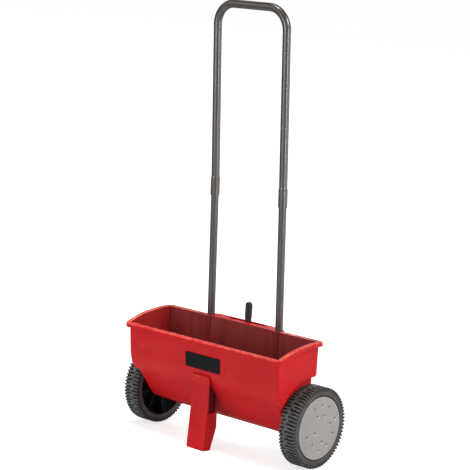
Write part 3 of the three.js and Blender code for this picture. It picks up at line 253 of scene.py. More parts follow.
def grown(bench, base, sizes, *helpers):
    """Runs a tree on a base mesh with its inputs set, and returns the plain mesh."""
    holder = held(base)
    step = holder.modifiers.new("grow", "NODES")
    step.node_group = bench.tree
    for item in bench.tree.interface.items_tree:
        if item.in_out == "INPUT" and item.name in sizes:
            step[item.identifier] = sizes[item.name]
    mesh = result(holder, *helpers)
    print(bench.tree.name, "grew", len(mesh.polygons), "faces")
    return mesh


# %% [markdown]
# ## Finishing a piece
# Moulded plastic and bent metal have no knife edges. A narrow bevel rounds each edge, its faces are
# marked with an attribute for the wear that shows there, and weighted normals keep the flat faces
# flat. Then the piece is put in its parked place and told which body carries it.

# %% Soft edges and places
def mark_faces(mesh, name, values):
    """Gives each face a number that the materials can read."""
    layer = mesh.attributes.get(name) or mesh.attributes.new(name, "FLOAT", "FACE")
    layer.data.foreach_set("value", [float(value) for value in values])


def softened(mesh, width, segments=2, angle=30):
    """Rounds the edges, and marks the new faces with the attribute wear_and_painted_highlight."""
    mesh.materials.clear()
    for _ in range(2):
        mesh.materials.append(None)
    mesh.polygons.foreach_set("material_index", [0] * len(mesh.polygons))
    holder = held(mesh)
    step = holder.modifiers.new("soften", "BEVEL")
    step.width, step.segments, step.material = width, segments, 1
    step.limit_method, step.angle_limit = "ANGLE", math.radians(angle)
    made = result(holder)
    mark_faces(made, "wear_and_painted_highlight", [face.material_index for face in made.polygons])
    made.polygons.foreach_set("material_index", [0] * len(made.polygons))
    return made


def weighted(mesh, sharp):
    mesh.polygons.foreach_set("use_smooth", [True] * len(mesh.polygons))
    mesh.set_sharp_from_angle(angle=math.radians(sharp))
    holder = held(mesh)
    step = holder.modifiers.new("normals", "WEIGHTED_NORMAL")
    step.keep_sharp = True
    return result(holder)


def placed(name, mesh, body, material, stands_for=(), sharp=35):
    mesh = weighted(mesh, sharp)
    mesh.materials.clear()
    mesh.materials.append(material)
    mesh.polygons.foreach_set("material_index", [0] * len(mesh.polygons))
    mesh.transform(PARKED)
    mesh.name = name
    piece = held(mesh, name)
    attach(piece, body)
    if stands_for:
        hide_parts(*stands_for)
    print(name, "has", len(mesh.polygons), "faces")


# %% [markdown]
# ## Colours and patterns
# Colours are written as they look on a screen and turned into linear light for the shader. The
# patterns read each piece's own place in metres, so the grain keeps its real size on every piece:
# a noise scale of 1000 makes grains about a millimetre wide.

# %% Pattern helpers
def shade(red, green, blue):
    def linear(value):
        share = value / 255
        return share / 12.92 if share <= 0.04045 else ((share + 0.055) / 1.055) ** 2.4
    return (linear(red), linear(green), linear(blue), 1.0)


def dimmed(colour, factor):
    return tuple(min(value * factor, 1.0) for value in colour[:3]) + (1.0,)


def new_finish(name, metallic=0.0, sheen_level=0.5):
    material = bpy.data.materials.new(name)
    material.use_nodes = True
    shader = material.node_tree.nodes["Principled BSDF"]
    shader.inputs["Metallic"].default_value = metallic
    shader.inputs["Specular IOR Level"].default_value = sheen_level
    bench = Bench(material.node_tree)
    place = bench.add("ShaderNodeTexCoord").outputs["Object"]
    return material, bench, shader, place


def stretched(bench, place, *scale):
    return bench.add("ShaderNodeMapping", {"Vector": place, "Scale": scale}).outputs[0]


def noise(bench, place, scale, detail=3.0, roughness=0.5, distortion=0.0):
    feeds = {"Vector": place, "Scale": scale, "Detail": detail, "Roughness": roughness,
             "Distortion": distortion}
    return bench.add("ShaderNodeTexNoise", feeds).outputs["Fac"]


def ranged(bench, value, low, high, start=0.3, end=0.7):
    feeds = {"Value": value, "From Min": start, "From Max": end, "To Min": low, "To Max": high}
    return bench.add("ShaderNodeMapRange", feeds).outputs["Result"]


def mixed(bench, share, first, second):
    node = bench.add("ShaderNodeMix", {0: share, 6: first, 7: second}, data_type="RGBA")
    return node.outputs[2]


def bumped(bench, shader, layers):
    """Stacks bumps of (height, strength, depth in metres), the widest first."""
    normal = None
    for height, strength, depth in layers:
        feeds = {"Height": height, "Strength": strength, "Distance": depth}
        if normal is not None:
            feeds["Normal"] = normal
        normal = bench.add("ShaderNodeBump", feeds).outputs[0]
    bench.tree.links.new(normal, shader.inputs["Normal"])


def feed(bench, shader, colour, roughness):
    bench.tree.links.new(colour, shader.inputs["Base Color"])
    bench.tree.links.new(roughness, shader.inputs["Roughness"])


# %% [markdown]
# ## Moulded plastic
# The hopper is coloured polypropylene. It has a satin skin with a fine eroded grain, cloudy flow
# marks where the melt ran, and its edges turn paler where they are rubbed; the pale rim edges and
# dimple slopes are painted highlight, and faces marked hollow darken as painted shade. One recipe
# makes the red hopper and foot, the black wheels, the grey hub caps and the lever, each in its own
# colours, and the foot's darker red is painted shade.

# %% The plastic recipe
def scratch_lines(bench, place, scale, width):
    """Thin crooked lines, where a stretched noise crosses its middle value."""
    field = noise(bench, stretched(bench, place, 1, 1, 3.5), scale, 2.0, 0.45, 0.6)
    away = bench.sum("ABSOLUTE", bench.sum("SUBTRACT", field, 0.5))
    line = ranged(bench, away, 1.0, 0.0, 0.0, width)
    patches = ranged(bench, noise(bench, place, scale * 0.6, 2.0), 0.0, 1.0, 0.55, 0.7)
    return bench.sum("MULTIPLY", line, patches)


def moulded_plastic(name, colour, pale_wear_and_highlight, gloss=(0.34, 0.46), grain=1400, scratched=0.25,
                    painted_shade=None, sheen_level=0.15):
    material, bench, shader, place = new_finish(name, sheen_level=sheen_level)
    cloud = noise(bench, place, 7.0, 4.0, 0.55, 0.4)
    flow = noise(bench, stretched(bench, place, 6, 14, 30), 1.0, 3.0, 0.5, 1.2)
    fine = noise(bench, place, grain, 2.0, 0.6)
    body = mixed(bench, ranged(bench, cloud, 0, 1), dimmed(colour, 0.9), dimmed(colour, 1.07))
    body = mixed(bench, ranged(bench, flow, 0.0, 0.35), body, dimmed(colour, 1.14))
    lines = scratch_lines(bench, place, 38, 0.012)
    body = mixed(bench, bench.sum("MULTIPLY", lines, scratched), body, pale_wear_and_highlight)
    # Bevel faces carry rubbed wear; the marks on the hopper rim's top edges and on the cap's dimple
    # slopes are painted highlight in the same pale colour.
    edge = bench.read("wear_and_painted_highlight")
    spots = ranged(bench, noise(bench, place, 90, 4.0, 0.65), 0.1, 0.7, 0.4, 0.62)
    wear_and_highlight = bench.sum("MULTIPLY", edge, spots)
    body = mixed(bench, wear_and_highlight, body, pale_wear_and_highlight)
    # Faces marked hollow turn to the painted shade colour in vertical runs, and marks past one turn
    # darker still: painted shade in hollows, corners and recesses.
    if painted_shade:
        hollow = bench.read("hollow")
        runs = ranged(bench, noise(bench, stretched(bench, place, 70, 70, 5), 1.0, 3.0), 0, 1)
        body = mixed(bench, hollow, body, mixed(bench, runs, dimmed(painted_shade, 0.72), painted_shade))
        body = mixed(bench, ranged(bench, hollow, 0, 1, 1, 2), body, dimmed(painted_shade, 0.36))
    satin = ranged(bench, noise(bench, place, 24, 3.0, 0.6), *gloss)
    satin = bench.sum("ADD", satin, bench.sum("MULTIPLY", wear_and_highlight, 0.08))
    feed(bench, shader, body, satin)
    bumped(bench, shader, [(flow, 0.12, 0.0012), (lines, -0.15, 0.0002), (fine, 0.22, 0.00015)])
    return material


# Each finish's darker colour, for faces marked hollow, is painted shade.
HOPPER_RED = moulded_plastic("moulded_red", shade(207, 28, 34), shade(250, 164, 138),
                             painted_shade=shade(158, 62, 60))
# The foot is the same red plastic; its darker copy of the red is painted shade.
FOOT_RED_SHADED = moulded_plastic("foot_red_shaded", shade(193, 27, 33), shade(250, 164, 138),
                           painted_shade=shade(132, 52, 50))
WHEEL_BLACK = moulded_plastic("moulded_black", shade(40, 39, 39), shade(66, 66, 66), (0.42, 0.56))
# The grey cap's darkest colour, for the marked middles of its dimples, is painted shade.
CAP_GREY = moulded_plastic("moulded_grey", shade(161, 157, 156), shade(205, 202, 199), (0.26, 0.36),
                           1100, 0.35, shade(112, 108, 107), 0.5)
LEVER_BLACK = moulded_plastic("lever_grip", shade(67, 66, 65), shade(92, 92, 90), (0.36, 0.5), 700)
NATURAL_PLASTIC = moulded_plastic("moulded_natural", shade(214, 209, 194), shade(232, 229, 219))
PLATE_NAVY = moulded_plastic("bare_navy", shade(7, 11, 19), shade(40, 46, 58), (0.5, 0.6), 2200,
                             0.15)
print("plastic finishes", 7)

# %% [markdown]
# ## Rubber and metal
# The tyres are dull rubber-like plastic: the floors and walls of the tread's slots are darkened as
# painted shade, and the tops of the blocks are scuffed to grey. The handle is steel tube with a
# grey satin coat, drawn lengthwise, so faint streaks run along it, and the lower tubes' darker coat
# is painted shade. Screws, washers and the axle are bright zinc with cloudy spangle.

# %% Tyre rubber
def from_axle(bench, place):
    """How far a point is from the axle's line, in metres."""
    from_middle = bench.vector_sum("SUBTRACT", place, tuple(AXLE_MIDDLE))[0]
    flat = bench.vector_sum("MULTIPLY", from_middle, (0, 1, 1))[0]
    return bench.vector_sum("LENGTH", flat)["Value"]


def tyre_rubber():
    material, bench, shader, place = new_finish("tread_rubber", sheen_level=0.4)
    radius = from_axle(bench, place)
    top = ranged(bench, radius, 0, 1, 0.0984, 0.0998)
    cloud = noise(bench, place, 26, 4.0, 0.6)
    fine = noise(bench, place, 1300, 2.0, 0.6)
    scuff = ranged(bench, noise(bench, place, 150, 5.0, 0.7), 0, 1, 0.4, 0.65)
    side = mixed(bench, ranged(bench, cloud, 0, 1), shade(64, 63, 63), shade(82, 81, 80))
    tread = mixed(bench, scuff, shade(70, 72, 73), shade(112, 113, 112))
    body = mixed(bench, top, side, tread)
    # Slot floors and walls, marked in the tread patch, turn near black: painted shade in the slots.
    body = mixed(bench, bench.read("slot_shade"), body, shade(12, 12, 13))
    edge = bench.sum("MULTIPLY", bench.read("wear_and_painted_highlight"), scuff)
    body = mixed(bench, edge, body, shade(128, 128, 126))
    feed(bench, shader, body, ranged(bench, cloud, 0.52, 0.68))
    bumped(bench, shader, [(cloud, 0.2, 0.0006), (scuff, 0.15, 0.0002), (fine, 0.3, 0.0002)])
    return material


# %% Coated tube and zinc
def coated_tube(name, dark, pale, metallic):
    material, bench, shader, place = new_finish(name, metallic, 0.4)
    across = stretched(bench, bench.read("around", "Vector"), 0.42, 0.42, 1)
    along = bench.axes(Z=bench.sum("MULTIPLY", bench.read("along"), 0.004))
    streaks = noise(bench, bench.vector_sum("ADD", across, along)[0], 1.0, 3.0, 0.6)
    cloud = noise(bench, place, 14, 3.0, 0.5)
    fleck = noise(bench, place, 2100, 2.0, 0.7)
    body = mixed(bench, ranged(bench, streaks, 0, 1), dark, pale)
    body = mixed(bench, ranged(bench, cloud, 0, 0.4), body, dimmed(dark, 0.8))
    body = mixed(bench, ranged(bench, fleck, 0, 0.08, 0.55, 0.75), body, dimmed(pale, 1.4))
    edge = bench.sum("MULTIPLY", bench.read("wear_and_painted_highlight"), 0.6)
    body = mixed(bench, edge, body, shade(182, 180, 176))
    feed(bench, shader, body, ranged(bench, streaks, 0.28, 0.31))
    bumped(bench, shader, [(streaks, 0.01, 0.0001), (fleck, 0.003, 0.00005)])
    return material


def bright_zinc():
    material, bench, shader, place = new_finish("bright_zinc", metallic=1.0)
    spangle = bench.add("ShaderNodeTexVoronoi", {"Vector": place, "Scale": 260.0}).outputs["Color"]
    crystals = bench.add("ShaderNodeSeparateColor", {"Color": spangle}).outputs[0]
    cloud = noise(bench, place, 60, 4.0, 0.6)
    lathe = noise(bench, stretched(bench, place, 2500, 60, 60), 1.0, 2.0)
    body = mixed(bench, ranged(bench, crystals, 0, 1, 0, 1), shade(176, 178, 180),
                 shade(205, 206, 207))
    body = mixed(bench, ranged(bench, cloud, 0, 0.5, 0.5, 0.7), body, shade(140, 138, 132))
    feed(bench, shader, body, ranged(bench, cloud, 0.26, 0.44))
    bumped(bench, shader, [(crystals, 0.05, 0.0001), (lathe, 0.1, 0.00008)])
    return material


TYRE_RUBBER, ZINC_STEEL = tyre_rubber(), bright_zinc()
UPPER_GREY = coated_tube("upper_tube", shade(112, 108, 105), shade(121, 117, 114), 0.8)
# The lower tubes get a darker, less metallic copy of the coat: painted shade for the darker
# surroundings they mirror.
LOWER_GREY_SHADED = coated_tube("lower_tube", shade(104, 101, 98), shade(116, 113, 110), 0.7)
print("finishes", [m.name for m in (TYRE_RUBBER, UPPER_GREY, LOWER_GREY_SHADED, ZINC_STEEL)])

# %% [markdown]
# ## The hopper's walls
# The hopper is one injection moulding, about half a metre long. Its front wall drops straight,
# curls in over the belly and runs down to a narrow trough, and its rear wall leans. At each end it
# hangs over a wheel, and a round arch clears the tyre. The side view is a rule: how far each wall
# is from the axle at a height. Rings at many heights follow that rule, and a second set, one wall
# thickness in, is cut out of the first.

# %% The side view as a rule
WALL = 2.6
TROUGH_HALF, BODY_HALF = 232.0, 246.5
CORNER_R, ARCH_R, OVERHANG_R, OVERRUN = 5.0, 118.5, 13.0, 6.0
FRONT_Y, FLARE_TOP_H, FLARE_R = 112.0, 116.0, 88.0
BELLY_SLOPE, BELLY_R, TROUGH_DEPTH = math.radians(58), 45.0, 23.5
REAR_TOP_Y, REAR_RAKE, REAR_R = 41.2, math.radians(5.44), 16.0
RIM_FRONT_H, RIM_CROWN_H, RIM_BACK_H, RIM_CURVE = 189.4, 204.3, 200.7, 2.6
FLARE = (FLARE_R - FRONT_Y, FLARE_TOP_H)


def slope_point(middle, r):
    return middle[0] - r * math.sin(BELLY_SLOPE), middle[1] - r * math.cos(BELLY_SLOPE)


def belly_middle():
    start, h = slope_point(FLARE, FLARE_R), BELLY_R - TROUGH_DEPTH
    down = (start[1] - h + BELLY_R * math.cos(BELLY_SLOPE)) / math.sin(BELLY_SLOPE)
    return start[0] + down * math.cos(BELLY_SLOPE) + BELLY_R * math.sin(BELLY_SLOPE), h


def rear_foot_middle():
    h = REAR_R - TROUGH_DEPTH
    wall = REAR_TOP_Y + (h - RIM_BACK_H) * math.tan(REAR_RAKE)
    return wall - REAR_R / math.cos(REAR_RAKE), h


BELLY, REAR_FOOT = belly_middle(), rear_foot_middle()


def front_y(h, inset):
    upper, lower = slope_point(FLARE, FLARE_R - inset), slope_point(BELLY, BELLY_R - inset)
    if h >= FLARE[1]:
        return FLARE[0] - (FLARE_R - inset)
    if h >= upper[1]:
        return FLARE[0] - math.sqrt((FLARE_R - inset) ** 2 - (FLARE[1] - h) ** 2)
    if h >= lower[1]:
        return upper[0] + (upper[1] - h) / math.tan(BELLY_SLOPE)
    return BELLY[0] - math.sqrt(max((BELLY_R - inset) ** 2 - (BELLY[1] - h) ** 2, 0))


def rear_y(h, inset):
    r = REAR_R - inset
    if h >= REAR_FOOT[1] - r * math.sin(REAR_RAKE):
        return REAR_FOOT[0] + r / math.cos(REAR_RAKE) + (h - REAR_FOOT[1]) * math.tan(REAR_RAKE)
    return REAR_FOOT[0] + math.sqrt(max(r ** 2 - (REAR_FOOT[1] - h) ** 2, 0))


def rim_top(y):
    share = -y / FRONT_Y if y < 0 else y / REAR_TOP_Y
    edge = RIM_FRONT_H if y < 0 else RIM_BACK_H
    return RIM_CROWN_H - (RIM_CROWN_H - edge) * min(share, 1) ** RIM_CURVE


print("belly slope from h", round(slope_point(FLARE, FLARE_R)[1], 1), "to",
      round(slope_point(BELLY, BELLY_R)[1], 1))


# %% Rings of the hopper
def plan(half, front, rear, r, h, steps=6, end_steps=1):
    """A rectangle with round corners, seen from above."""
    ring = []
    corners = [(half - r, front + r, -90), (half - r, rear - r, 0),
               (r - half, rear - r, 90), (r - half, front + r, 180)]
    for c, (x, y, start) in enumerate(corners):
        ring += [(a, b, h) for a, b in arc((x, y), r, start, start + 90, steps)]
        if c % 2 == 0:
            side, here, there = ring[-1][0], ring[-1][1], corners[c + 1][1]
            for k in range(1, end_steps):
                ring.append((side, here + (there - here) * k / end_steps, h))
    return ring


def heights(top, inset):
    """Where the side view bends, from the top down."""
    found = {round(top, 4), round(slope_point(BELLY, BELLY_R - inset)[1], 4)}
    for middle, r, start, end, steps in (
        (FLARE, FLARE_R - inset, 0, 32, 14),
        (BELLY, BELLY_R - inset, 34, 89, 12),
        (REAR_FOOT, REAR_R - inset, 6, 90, 8),
    ):
        for _, h in arc(middle, r, -start, -end, steps):
            found.add(round(h, 4))
    kept = sorted((h for h in found if h <= top), reverse=True)
    return [h for i, h in enumerate(kept) if i == 0 or kept[i - 1] - h > 0.05]


def walls(half, inset, top):
    return loft([plan(half - inset, front_y(h, inset), rear_y(h, inset), CORNER_R - inset, h)
                 for h in heights(top, inset)])


def overhang_cutter(inset, inner, outer):
    """What lies outside the round between the arch and the rear wall, over a wheel."""
    r, lean = OVERHANG_R - inset, math.tan(REAR_RAKE)
    start = rear_y(0, inset) - r / math.cos(REAR_RAKE)
    square = 1 + lean ** 2
    root = (start * lean) ** 2 - square * (start ** 2 - (ARCH_R + OVERHANG_R) ** 2)
    h = (math.sqrt(root) - start * lean) / square
    middle = (start + h * lean, h)
    low = math.degrees(math.atan2(-middle[1], -middle[0]))
    curve = arc(middle, r, low, -math.degrees(REAR_RAKE), 12)
    rear, floor = curve[-1][0] + OVERRUN, curve[0][1] - OVERRUN
    return pulled(curve + [(rear, curve[-1][1]), (rear, floor), (curve[0][0], floor)], inner, outer)


def space(inset, top):
    """Everything inside the walls at an inset, with the arches over the wheels cut away."""
    inner = TROUGH_HALF - CORNER_R - max(inset, 0)
    outer = BODY_HALF + OVERRUN
    arch = rod(ARCH_R + inset, inner, outer, 144)
    round_off = overhang_cutter(inset, inner, outer)
    wide = cut(walls(BODY_HALF, inset, top), arch, copied(arch, MIRROR), round_off,
               copied(round_off, MIRROR))
    return joined(wide, walls(TROUGH_HALF, inset, ARCH_R + OVERRUN))


def below_rim(drop):
    front, rear = -FRONT_Y - 16, REAR_TOP_Y + 16
    curve = []
    for k in range(33):
        y = -FRONT_Y + (FRONT_Y + REAR_TOP_Y) * k / 32
        curve.append((y, rim_top(y) - drop))
    outline = [(front, -40), (front, RIM_FRONT_H - drop), *curve,
               (rear, RIM_BACK_H - drop), (rear, -40)]
    return pulled(outline, -BODY_HALF - OVERRUN, BODY_HALF + OVERRUN)


# %% [markdown]
# ## The rolled rim
# A thin wall this long would wave like paper, so its top edge is rolled outwards and down into a
# channel. One small section follows the rim all the way round: it could be swept along a curve, but
# a loft keeps the section upright while the ends rise and fall.

# %% The rim
LIP_OUT, LIP_DROP, LIP_WALL, LIP_ROUND = 9.5, 10.5, 2.4, 2.2


def rim_section():
    out = LIP_OUT - LIP_ROUND
    roll = arc((out, -LIP_ROUND), LIP_ROUND, 90, 0, 5)
    inner = arc((1.7 - WALL / 2, -1.7), 1.7, 180, 90, 4)
    return [(-WALL / 2, -LIP_DROP / 2), *inner, *roll, (LIP_OUT + 0.3, -LIP_DROP + 0.6),
            (LIP_OUT - 0.3, -LIP_DROP), (LIP_OUT - LIP_WALL, -LIP_DROP),
            (LIP_OUT - LIP_WALL, -LIP_WALL), (-WALL / 4, -LIP_WALL), (-WALL / 4, -LIP_DROP / 2)]


def rim():
    track = plan(BODY_HALF, -FRONT_Y, REAR_TOP_Y, CORNER_R, 0, 8, 24)
    rings = []
    for out, drop in rim_section():
        ring = plan(BODY_HALF + out, -FRONT_Y - out, REAR_TOP_Y + out, CORNER_R + out, 0, 8, 24)
        rings.append([(x, y, rim_top(track[i][1]) + drop) for i, (x, y, _) in enumerate(ring)])
    return loft(rings, ring_of_rings=True)


# %% [markdown]
# ## What is moulded onto the hopper
# Behind the rim sits a console with the slot that the dosing lever swings in. Two sockets take the
# handle's tubes, a boss inside each end wall carries an axle bush, a block above the foot stops it
# from tearing off, and rails under the trough hold the dosing slide.

# %% Sockets, console and bosses
TUBE_BASE_HALF, TUBE_BASE_Y = 112.6, 47.7
TUBE_JOINT_HALF, TUBE_JOINT_Y, JOINT_H = 110.4, 63.1, 550.8
LOWER_TUBE_R, SOCKET_DEPTH, SOCKET_R, TUBE_FIT = 9.5, 95.0, 13.5, 0.3
LEVER_OFFSET, BOSS_R, BOSS_FACE = 19.6, 8.0, 16.3
CONSOLE_REAR_Y, CONSOLE_CHAMFER, CONSOLE_DEPTH = 67.0, 13.0, 29.0
SLOT_HALF, SLOT_FRONT_Y, SLOT_REAR_Y = 59.5, 53.0, 64.4
SLIDE_FRONT_Y, SLIDE_REAR_Y, FORK_ROOM = -17.0, 5.0, 20.0
RAIL_HALF, RAIL_TOP_H, RAIL_LIP_H, RAIL_LOW_H = 223.0, -22.0, -26.1, -28.6
FAR_PAST = 300.0  # how far a cutter reaches where only one of its faces matters


def tube_line(side):
    base = Vector((side * TUBE_BASE_HALF, TUBE_BASE_Y, RIM_BACK_H))
    joint = Vector((side * TUBE_JOINT_HALF, TUBE_JOINT_Y, JOINT_H))
    return base, joint, (joint - base).normalized()


def aimed(mesh, origin, direction):
    """Moves a shape made along x to an origin, with its x along a direction."""
    turn = Vector((1, 0, 0)).rotation_difference(Vector(direction)).to_matrix().to_4x4()
    return copied(mesh, Matrix.Translation(origin) @ turn)


def socket(side, r, low):
    base, _, along = tube_line(side)
    post = aimed(rod(r, low, OVERRUN * 2), base, along)
    return cut(post, block(-FAR_PAST, FAR_PAST, -FAR_PAST, FAR_PAST, RIM_BACK_H, FAR_PAST))


def console(inset, low, high, front):
    half, rear = TUBE_BASE_HALF - inset, CONSOLE_REAR_Y - inset
    corner = rear - CONSOLE_CHAMFER / 2
    outline = [(-half, front), (half, front), (half, corner), (half - CONSOLE_CHAMFER, rear),
               (CONSOLE_CHAMFER - half, rear), (-half, corner)]
    return loft([[(x, y, h) for x, y in outline] for h in (low, high)])


WALL_OUT = Vector((0, math.cos(REAR_RAKE), -math.sin(REAR_RAKE)))
PIVOT_FOOT_H = LEVER_OFFSET * math.sin(REAR_RAKE)
PIVOT_ON_WALL = Vector((0, rear_y(PIVOT_FOOT_H, 0), PIVOT_FOOT_H))


def rails():
    """One rail in front of the slide, and two behind it with room for the lever's fork."""
    made = []
    whole, split = [(-RAIL_HALF, RAIL_HALF)], [(-RAIL_HALF, -FORK_ROOM), (FORK_ROOM, RAIL_HALF)]
    for edge, away, spans in ((SLIDE_FRONT_Y, -1, whole), (SLIDE_REAR_Y, 1, split)):
        inner, outer, tip = edge + away * 0.5, edge + away * 3, edge - away * 2.5
        outline = [(inner, RAIL_TOP_H), (outer, RAIL_TOP_H), (outer, RAIL_LOW_H),
                   (tip, RAIL_LOW_H), (tip, RAIL_LIP_H), (inner, RAIL_LIP_H)]
        made += [pulled(outline, *span) for span in spans]
    return made


# %% The dosing outlets
# Fifteen equal holes in a row: a Geometry Nodes line of cutters, one for each outlet.
OUTLETS, OUTLET_PITCH, OUTLET_Y = 15, 28.0, -6.0
bench, given = grower("outlet_row", {"Outlets": "Int", "Pitch": "Float", "Width": "Float",
                                     "Depth": "Float", "Height": "Float"})
size = bench.axes(X=given["Width"], Y=given["Depth"], Z=given["Height"])
cutter = bench.add("GeometryNodeMeshCube", {"Size": size}).outputs[0]
row = set_out(bench, row_points(bench, given["Outlets"], given["Pitch"]), cutter)
end_tree(bench, row, HOPPER_RED)
outlets = grown(bench, bpy.data.meshes.new("none"), {
    "Outlets": OUTLETS, "Pitch": OUTLET_PITCH, "Width": 7.0, "Depth": 14.0, "Height": 10.0})
outlets.transform(Matrix.Translation((0, OUTLET_Y, -TROUGH_DEPTH)))


# %% The whole hopper
BUSH_BOSS_R, BUSH_BOSS_START, BUSH_BOSS_END, BUSH_HOLE_R = 12.6, 222.0, 230.7, 8.6
MOUNT_HALF, MOUNT_FRONT_Y, MOUNT_LOW_H, MOUNT_TOP_H = 28.4, -115.4, 78.3, 102.0
RECESS_HALF, RECESS_FRONT_Y, RECESS_TOP_H = 23.4, -112.4, 99.0


def foot_mount():
    """A block on the front wall above the foot, with each side set in as the foot's are."""
    whole = block(-MOUNT_HALF, MOUNT_HALF, MOUNT_FRONT_Y, -100, MOUNT_LOW_H, MOUNT_TOP_H)
    sides = [block(*sorted((side * RECESS_HALF, side * 30)), RECESS_FRONT_Y, -90, 70, RECESS_TOP_H)
             for side in (-1, 1)]
    return cut(whole, *sides)


def hopper():
    sockets = [socket(side, SOCKET_R, -SOCKET_DEPTH - 3) for side in (-1, 1)]
    bush_boss = rod(BUSH_BOSS_R, BUSH_BOSS_START, BUSH_BOSS_END)
    bosses = [bush_boss, copied(bush_boss, MIRROR)]
    shell = combined(space(0, RIM_CROWN_H + OVERRUN), [below_rim(0.8)], "INTERSECT")
    hollow = cut(space(WALL, RIM_CROWN_H + OVERRUN), *[s.copy() for s in sockets],
                 *[b.copy() for b in bosses])
    body = cut(joined(shell, rim(), foot_mount()), hollow.copy())
    low = RIM_BACK_H - CONSOLE_DEPTH
    shelf = cut(console(0, low, RIM_BACK_H, rear_y(RIM_BACK_H, 1.3)),
                console(WALL, low - 6, RIM_BACK_H - WALL, rear_y(low, 0) + 0.3),
                block(-SLOT_HALF, SLOT_HALF, SLOT_FRONT_Y, SLOT_REAR_Y, low, RIM_BACK_H + OVERRUN),
                hollow)
    pivot_boss = aimed(rod(BOSS_R, -WALL / 2, BOSS_FACE), PIVOT_ON_WALL, WALL_OUT)
    whole = joined(body, shelf, *sockets, *bosses, pivot_boss, *rails())
    bores = [aimed(rod(LOWER_TUBE_R + TUBE_FIT, -SOCKET_DEPTH, 2 * OVERRUN), *tube_line(side)[::2])
             for side in (-1, 1)]
    return cut(whole, *bores, rod(BUSH_HOLE_R, -240, 240), outlets)


def mark_shade_and_highlight(mesh):
    """Marks painted shade inside the hopper, deepest in the rear corners and lighter on the end
    walls, a faint painted shade on the ends behind the wheels, and a painted highlight on the rim's
    top edges.
    """
    painted_shade, pale_wear_and_highlight = [], [item.value for item in mesh.attributes["wear_and_painted_highlight"].data]
    for face in mesh.polygons:
        normal, centre = face.normal, face.center
        x, y, h = centre + normal * 3
        behind_wheel = abs(centre.x) > TROUGH_HALF - WALL and math.hypot(y, h) < ARCH_R + WALL
        within = abs(x) < BODY_HALF and front_y(h, WALL) < y < rear_y(h, WALL)
        inside = within and -TROUGH_DEPTH < h < rim_top(y) and not behind_wheel
        end = abs(normal.x) > 0.8
        corner = abs(normal.x) > 0.25 and normal.y < -0.25
        shared = 1.6 if corner else 0.5 if end else 1.0
        painted_shade.append(shared if inside else 0.1 * float(behind_wheel and end))
        # The rim's top edges are marked pale: painted highlight.
        if rim_top(centre.y) - 2.4 < centre.z and 0.2 < normal.z < 0.985:
            inwards = -normal.x * centre.x / BODY_HALF - normal.y * (centre.y + 35) / 77
            pale_wear_and_highlight[face.index] = 4.0 if inwards > 0.1 else 0.8
    mark_faces(mesh, "hollow", painted_shade)
    mark_faces(mesh, "wear_and_painted_highlight", pale_wear_and_highlight)
    return mesh


hopper_mesh = mark_shade_and_highlight(softened(hopper(), 0.7, 2, 28))
placed("hopper_moulding", hopper_mesh, "spreader", HOPPER_RED, ["hopper"], 24)

# %% [markdown]
# ## The front foot and the bare plate
# The foot is a box-section leg screwed under the belly. Its shape is all flat faces, so the CAD
# model already has it right: a merged copy only gets its edges rounded, as a mould would. The plate
# on the front wall stays bare here. It is a thin card with round corners.

# %% Foot and plate
def from_cad(node, angle=1.0):
    """A merged copy of a CAD node in millimetres from the axle, with flat faces made whole."""
    shape = bmesh.new()
    shape.from_mesh(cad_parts[node].data)
    shape.transform(PARKED.inverted())
    bmesh.ops.remove_doubles(shape, verts=shape.verts, dist=0.01)
    bmesh.ops.dissolve_limit(shape, angle_limit=math.radians(angle), verts=shape.verts,
                             edges=shape.edges)
    return mesh_of(shape)


def mark_recess(mesh):
    """Marks the upper part of each side of the foot, which is set in, for a deep painted shade."""
    marks = [1.8 * (abs(face.normal.x) > 0.9 and 22 < abs(face.center.x) < 24 and face.center.z > 5)
             for face in mesh.polygons]
    mark_faces(mesh, "hollow", marks)
    print("rough faces on the foot", sum(mark > 0 for mark in marks))
    return mesh


# The foot takes the darker foot red, and the set-in sides of its recess carry painted shade.
placed("foot_moulding", mark_recess(softened(from_cad("front_foot"), 0.9, 3, 20)), "spreader",
       FOOT_RED_SHADED, ["front_foot"])


def rounded_card(width, height, r, x, h, y0, y1):
    ring = plan(width / 2, -height / 2, height / 2, r, 0, 8)
    return loft([[(x + a, y, h + b) for a, b, _ in ring] for y in (y0, y1)])


PLATE_LONG, PLATE_HIGH, PLATE_CORNER_R, PLATE_X, PLATE_H = 113.0, 38.0, 3.0, 5.0, 134.5
plate = rounded_card(PLATE_LONG, PLATE_HIGH, PLATE_CORNER_R, PLATE_X, PLATE_H,
                     -FRONT_Y - 0.3, -FRONT_Y - 1.5)
placed("bare_plate", softened(plate, 0.35, 2), "spreader", PLATE_NAVY,
       ["name_plate"])

# %% [markdown]
# ## The handle
# The handle is one long tube bent twice, and each of its ends is widened to slip over a lower tube.
# It follows a path, so Geometry Nodes sweep a circle along it. An attribute on the path, named
# swell, makes the circle wider where the sleeves are, and two more, along and around, lead the
# coat's streaks down the tube. Solidify then gives the skin its wall.

# %% A tube along a path
bench, given = grower("tube_on_path", {"Tube radius": "Float", "Sides": "Int"})
swell = bench.add("GeometryNodeInputNamedAttribute", {"Name": "swell"}).outputs["Attribute"]
path = bench.add("GeometryNodeMeshToCurve", {"Mesh": given["Geometry"]}).outputs[0]
length = bench.add("GeometryNodeSplineParameter").outputs["Length"]
path = bench.add("GeometryNodeStoreNamedAttribute", {"Geometry": path, "Name": "along",
                                                     "Value": length}).outputs[0]
ring = bench.add("GeometryNodeCurvePrimitiveCircle", {"Resolution": given["Sides"],
                                                      "Radius": given["Tube radius"]}).outputs[0]
spot = bench.add("GeometryNodeInputPosition").outputs[0]
ring = bench.add("GeometryNodeStoreNamedAttribute", {"Geometry": ring, "Name": "around",
                                                     "Value": spot},
                 data_type="FLOAT_VECTOR").outputs[0]
tube = bench.add("GeometryNodeCurveToMesh", {"Curve": path, "Profile Curve": ring, "Scale": swell})
